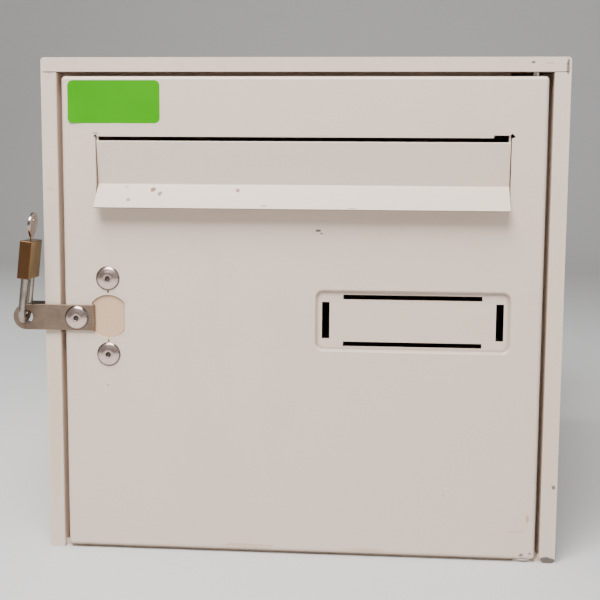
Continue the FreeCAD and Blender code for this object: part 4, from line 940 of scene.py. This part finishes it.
@dataclass
class Door:
    """The door pan with its plate, strap, rivets, label, bushes and flap rod.

    Attributes:
        dome: height of the large rivets' heads.
        bore: radius of their mandrel holes.
        cutout_shift: from the blanking plate's middle to the lock cutout's, along X.
        cutout_radius: of the lock cutout.
        cutout_flat: half the cutout's width between its flats.
        ring_radius: of the ring round the cutout.
        plate_inset: from the door's right side to the nameplate recess.
        plate_rise: from the door's foot to the recess.
        plate_size: the recess's width and height.
    """

    shop: Workshop
    body: str = "door"
    dome: float = 1.9 * MM
    bore: float = 1.5 * MM
    cutout_shift: float = -1.0 * MM
    cutout_radius: float = 12.7 * MM
    cutout_flat: float = 9.7 * MM
    ring_radius: float = 14.2 * MM
    plate_inset: float = 17.9 * MM
    plate_rise: float = 121.3 * MM
    plate_size: tuple[float, float] = (110.8 * MM, 34.7 * MM)

    def build(self) -> None:
        """Dress and make the door's pieces."""
        plate_low, plate_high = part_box("lock_blanking_plate")
        middle_z = (plate_low.z + plate_high.z) / 2
        middle_x = (plate_low.x + plate_high.x) / 2 + self.cutout_shift
        ring = (middle_x, middle_z, self.ring_radius)
        face_paint = paint("door_paint", marks=DOOR_MARKS, yellow=0.16, grime=0.28, ring=ring,
                           recess=self.recess())
        cutout = (middle_x, middle_z, self.cutout_radius, self.cutout_flat)
        self.shop.dress(face_paint, "door_panel")
        self.shop.dress(replace(CREAM_PAINT, cutout=cutout), "lock_blanking_plate")
        self.shop.dress(STRAP_STEEL, "hasp_strap")
        self.shop.dress(NYLON, "upper_hinge_bush", "lower_hinge_bush")
        self.shop.dress(INNER_PAINT, "left_flap_bracket", "right_flap_bracket")
        self.shop.dress(ZINC_STEEL, "rod_clips")
        self.shop.dress(BRIGHT_STEEL, "flap_hinge_rod")
        self.make_rivets()
        self.make_label()

    def recess(self) -> tuple[float, float, float, float]:
        """Find the nameplate recess from the door's sides.

        Returns:
            Its left, right, lower and upper sides.
        """
        low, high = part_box("door_panel")
        right = high.x - self.plate_inset
        foot = low.z + self.plate_rise
        return right - self.plate_size[0], right, foot, foot + self.plate_size[1]

    def make_rivets(self) -> None:
        """The three large-flange rivets, each with its broken mandrel in the bore."""
        low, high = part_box("blanking_rivets")
        radius = (high.x - low.x) / 2
        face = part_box("door_panel")[0].y
        centre = (low.x + high.x) / 2
        strap_low, strap_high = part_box("strap_rivet")
        strap_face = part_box("hasp_strap")[0].y
        places = {
            "upper_lock_rivet": (centre, face, high.z - radius, high.y - face),
            "lower_lock_rivet": (centre, face, low.z + radius, high.y - face),
            "strap_head_rivet": ((strap_low.x + strap_high.x) / 2, strap_face,
                                 (strap_low.z + strap_high.z) / 2, strap_high.y - strap_face),
        }
        for name, (x, y, z, reach) in places.items():
            mesh = face_to(rivet_shape(radius, self.dome, self.bore, reach), Facing.FRONT, (x, y, z))
            node = "strap_rivet" if name.startswith("strap") else "blanking_rivets"
            # Each face gets its own material, with painted shade round the rivet's rim.
            steel = replace(RIVET_STEEL, name=f"rivet_steel_at_{round(-y / MM)}", seat=y)
            self.shop.piece(name, mesh, steel, self.body, "rivet_steel", (node,))
            broken = self.bore * 0.92
            stub = turned([(0.0, 0.0), (broken, 0.0), (broken, 0.35 * MM),
                           (self.bore * 0.6, 0.55 * MM), (0.0, 0.45 * MM)], 24)
            face_to(stub, Facing.FRONT, (x, y - self.dome * 0.27, z))
            self.shop.piece(f"{name}_mandrel", stub, MANDREL_STEEL, self.body, "rivet_steel")

    def make_label(self) -> None:
        """The blank green label, its lower left corner a little lifted."""
        low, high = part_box("price_sticker")
        reach, lifted = 13.0 * MM, 0.7 * MM
        paper, ripple_height = 0.02 * MM, 0.035 * MM
        stand_off = 0.03 * MM
        mesh = bmesh.new()
        outline = rounded(low.x, high.x, low.z, high.z, 3.0 * MM)
        mesh.faces.new([mesh.verts.new((x, 0.0, z)) for x, z in outline])
        for way, parts in ((Vector((1, 0, 0)), 14), (Vector((0, 0, 1)), 7)):
            first, last = low.dot(way), high.dot(way)
            for part in range(1, parts):
                bmesh.ops.bisect_plane(mesh, geom=mesh.verts[:] + mesh.edges[:] + mesh.faces[:],
                                       plane_co=way * (first + (last - first) * (part / parts)),
                                       plane_no=way)
        for point in mesh.verts:
            place = point.co
            away = math.hypot((place.x - low.x) / reach, (place.z - low.z) / reach)
            lift = max(0.0, 1.0 - away) ** 2 * lifted
            ripple = ripple_height * (1 + math.sin(place.x * 310.0) * math.cos(place.z * 420.0))
            place.y = high.y - stand_off - lift - ripple
        face_forward(mesh)
        bmesh.ops.solidify(mesh, geom=mesh.faces[:], thickness=paper)
        self.shop.piece("green_label", mesh, GREEN_PAPER, self.body, "green_label",
                        ("price_sticker",))


@dataclass
class Padlock:
    """The small padlock, leaning on the strap's hole: shackle, case, plug, pins, coil springs and key.

    Attributes:
        half_thickness: of the case.
        spring_wire: radius of the springs' wire.
        spring_play: how much shorter a coil is than its stand-in.
    """

    shop: Workshop
    half_thickness: float = 3.5 * MM
    key_thickness: float = 1.0 * MM
    bow_thickness: float = 1.6 * MM
    spring_wire: float = 0.12 * MM
    spring_play: float = 0.3 * MM

    def __post_init__(self) -> None:
        """Find the lean and the plug's axis from the joints."""
        joints = {joint["name"]: joint for joint in frame["joints"]}
        turn, swing = joints["plug_turn"], joints["padlock_swing"]
        self.axis = Vector(turn["axis"])
        self.lean = math.atan2(self.axis.x, self.axis.z)
        hole = Vector(swing["pos_m"])
        self.origin = Vector((hole.x, Vector(turn["pos_m"]).y, hole.z))

    def level(self, node: str, top: bool) -> float:
        """How far along the leaning axis a node reaches.

        Args:
            node: the CAD node.
            top: its upper side, or else its lower.
        Returns:
            The distance from the strap's hole.
        """
        low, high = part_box(node)
        height = (high.z if top else low.z) - self.origin.z
        return height / self.axis.z

    def place(self, mesh: bmesh.types.BMesh) -> bmesh.types.BMesh:
        """Lean a piece onto the strap's hole.

        Args:
            mesh: the piece, upright at the origin.
        Returns:
            The same mesh.
        """
        turn = Matrix.Rotation(self.lean, 4, "Y")
        bmesh.ops.transform(mesh, matrix=Matrix.Translation(self.origin) @ turn, verts=mesh.verts)
        return mesh

    def build(self) -> None:
        """Dress and make the padlock's pieces."""
        foot = self.origin.x - self.origin.z * math.tan(self.lean)
        edge = foot + self.half_thickness / self.axis.z
        # The case's left side gets painted light.
        brass = replace(CASE_BRASS, lit_flank=LIT_FLANK_BRASS, flank_start=edge, lean=self.lean)
        self.shop.dress(SHACKLE_STEEL, "padlock_shackle")
        self.shop.dress(brass, "padlock_case")
        self.shop.dress(PLUG_BRASS, "lock_plug", "driver_pins", "key_pins", "latch_bolt")
        self.make_springs()
        self.make_key()

    def lay_coil(self, node: str, radius: float, turns: int, height: float) -> bmesh.types.BMesh:
        """A coil spring that runs from the front of the case to the back.

        Args:
            node: the CAD stand-in that gives its ends.
            radius: of the coil's centre line.
            turns: number of coils.
            height: its place along the leaning axis.
        Returns:
            The coil, not yet leaning.
        """
        low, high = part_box(node)
        coil = spring(radius, self.spring_wire, high.y - low.y - self.spring_play, turns)
        back = Matrix.Rotation(-math.pi / 2, 3, "X")
        bmesh.ops.rotate(coil, cent=(0, 0, 0), matrix=back, verts=coil.verts)
        start = low.y + self.spring_play / 2 - self.origin.y
        bmesh.ops.translate(coil, verts=coil.verts, vec=(0, start, height))
        return coil

    def make_springs(self) -> None:
        """Coil springs behind the lock's pins, and one behind the latch."""
        rows = 4
        end_gap = 0.66 * MM
        bottom = self.level("pin_springs", False)
        top = self.level("pin_springs", True)
        pitch = (top - bottom - 1.35 * MM) / (rows - 1)
        stack = bmesh.new()
        for row in range(rows):
            join(stack, self.lay_coil("pin_springs", 0.42 * MM, 6, bottom + end_gap + pitch * row))
        self.shop.piece("lock_pin_springs", self.place(stack), BRIGHT_STEEL, "lock_case",
                        "spring_steel", ("pin_springs",))
        height = (self.level("latch_spring", False) + self.level("latch_spring", True)) / 2
        coil = self.lay_coil("latch_spring", 0.34 * MM, 4, height)
        self.shop.piece("latch_coil", self.place(coil), BRIGHT_STEEL, "lock_case", "spring_steel",
                        ("latch_spring",))

    def make_key(self) -> None:
        """The key: an oval bow with a hole and a shoulder, and a blade with cuts along its edge."""
        low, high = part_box("padlock_key")
        bottom = self.level("padlock_key", False) + 0.25 * MM
        top = self.level("padlock_key", True) - 0.45 * MM
        half = (high.y - low.y) / 2 - 0.1 * MM
        middle = (high.y + low.y) / 2 - self.origin.y
        bow_half, shoulder = 6.7 * MM, 2.3 * MM
        blade_low, blade_high = -0.85 * MM, 1.65 * MM
        bow_centre = top - bow_half
        neck = bow_centre - 7.6 * MM
        first_cut = bottom + 1.0 * MM
        bow_steps, bow_start, bow_sweep = 40, -52, 284
        outline = []
        for step in range(bow_steps + 1):
            angle = math.radians(bow_start + step * bow_sweep / bow_steps)
            outline.append((middle + half * math.cos(angle),
                            bow_centre + bow_half * math.sin(angle)))
        outline += [(-shoulder, neck), (blade_low, neck), (blade_low, bottom + 0.8 * MM),
                    (blade_low + 0.8 * MM, bottom), (blade_high - 0.7 * MM, bottom)]
        teeth = 4
        reach = neck - bottom - 2.0 * MM
        for tooth in range(teeth):
            start = first_cut + reach * 0.72 * tooth / teeth
            depth = (0.9 if tooth % 2 else 0.55) * MM
            outline += [(blade_high, start), (blade_high - depth, start + 0.6 * MM),
                        (blade_high - depth, start + 0.95 * MM)]
        outline += [(blade_high, first_cut + reach * 0.78), (blade_high, neck), (shoulder, neck)]
        hole = (middle, bow_centre + 3.0 * MM, 1.5 * MM)
        key = plate(outline, self.bow_thickness, 0.22 * MM, (hole,))
        centre = self.bow_thickness / 2
        thinner = self.key_thickness / self.bow_thickness * 0.96
        for corner in key.verts:
            if corner.co.z < neck + 0.2 * MM:
                corner.co.y = centre + (corner.co.y - centre) * thinner
        bmesh.ops.translate(key, verts=key.verts, vec=(0, -centre, 0))
        quarter_turn = Matrix.Rotation(math.pi / 2, 3, "Z")
        bmesh.ops.rotate(key, cent=(0, 0, 0), matrix=quarter_turn, verts=key.verts)
        self.shop.piece("lock_key", self.place(key), KEY_STEEL, "key", "key_steel",
                        ("padlock_key",))


@dataclass
class Studio:
    """Floor, backdrop, soft lights and the camera, whose distance is measured from the door's face."""

    yaw: float = math.radians(-4.78)
    pitch: float = math.radians(7.04)
    roll: float = math.radians(0.36)
    distance: float = 0.6481
    aside: float = 0.0545
    height: float = 0.2327
    lens: float = 68.2
    sensor: float = 36.0

    def build(self) -> None:
        """Make the whole setting."""
        self.make_floor()
        self.make_lights()
        self.make_camera()

    def make_floor(self) -> None:
        """A pale floor that curves up behind the box."""
        mesh = bmesh.new()
        bend, behind, before, rise, half = 0.6, 2.2, -3.0, 3.0, 4.0
        steps = 12
        line = [(before, 0.0), (behind - bend, 0.0)]
        for step in range(1, steps + 1):
            angle = math.pi / 2 * step / steps
            line.append((behind - bend + bend * math.sin(angle), bend - bend * math.cos(angle)))
        line.append((behind, rise))
        row = [mesh.verts.new((-half, y, z)) for y, z in line]
        edges = [mesh.edges.new(pair) for pair in zip(row, row[1:])]
        grown = bmesh.ops.extrude_edge_only(mesh, edges=edges)
        moved = [item for item in grown["geom"] if isinstance(item, bmesh.types.BMVert)]
        bmesh.ops.translate(mesh, verts=moved, vec=(2 * half, 0, 0))
        bmesh.ops.recalc_face_normals(mesh, faces=mesh.faces)
        for face in mesh.faces:
            face.smooth = True
        tree = ShaderTree("studio_paper")
        tree.feed(tree.shader.inputs["Base Color"], PAPER)
        tree.shader.inputs["Roughness"].default_value = 0.85
        floor = add_object("studio_floor", mesh, tree.material)

    def make_lights(self) -> None:
        """A large key above, a fill from the right and a soft world."""
        centre = (CAD_BOX[0] + CAD_BOX[1]) / 2
        self.lamp("key", (centre.x - 0.15, CAD_BOX[0].y - 0.62, 1.32), 0.8, 46.0, centre)
        self.lamp("fill", (centre.x + 1.3, CAD_BOX[0].y - 0.7, 0.65), 0.9, 3.5, centre)
        self.lamp("rim", (centre.x - 1.2, 0.5, 1.0), 0.8, 8.0, centre)
        world = bpy.data.worlds.new("studio_world")
        world.use_nodes = True
        background = world.node_tree.nodes["Background"]
        background.inputs["Color"].default_value = (*SKY, 1.0)
        background.inputs["Strength"].default_value = 0.24
        bpy.context.scene.world = world

    def lamp(self, name: str, place: Sequence[float], size: float, power: float,
             target: Vector) -> None:
        """One square area light.

        Args:
            name: its name.
            place: where it stands.
            size: length of its sides.
            power: in watts.
            target: the point that it faces.
        """
        data = bpy.data.lights.new(name, "AREA")
        data.size = size
        data.energy = power
        item = bpy.data.objects.new(name, data)
        item.location = place
        item.rotation_euler = (target - Vector(place)).to_track_quat("-Z", "Y").to_euler()
        bpy.context.scene.collection.objects.link(item)

    def make_camera(self) -> None:
        """The camera in front of the door, a little to its right and turned back to the left."""
        forward = Vector((math.sin(self.yaw) * math.cos(self.pitch),
                          math.cos(self.yaw) * math.cos(self.pitch), -math.sin(self.pitch)))
        right = Vector((math.cos(self.yaw), -math.sin(self.yaw), 0.0))
        up = right.cross(forward)
        level = right * math.cos(self.roll) + up * math.sin(self.roll)
        upright = up * math.cos(self.roll) - right * math.sin(self.roll)
        turn = Matrix((level, upright, -forward)).transposed().to_4x4()
        data = bpy.data.cameras.new("front_camera")
        data.lens = self.lens
        data.sensor_width = self.sensor
        item = bpy.data.objects.new("front_camera", data)
        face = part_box("door_panel")[0].y
        place = (self.aside, face - self.distance, self.height)
        item.matrix_world = Matrix.Translation(place) @ turn
        bpy.context.scene.collection.objects.link(item)
        bpy.context.scene.camera = item


def main() -> None:
    """Build the setting and every sub-assembly in order."""
    logging.basicConfig(level=logging.INFO, format="%(name)s: %(message)s")
    shop = Workshop()
    Studio().build()
    Casing(shop).build()
    Door(shop).build()
    # The flap's lip gets painted shade along its lower edge.
    shop.dress(replace(FLAP_PAINT, shade_below=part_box("mail_flap")[0].z), "mail_flap")
    Padlock(shop).build()


if __name__ == "__main__":
    main()
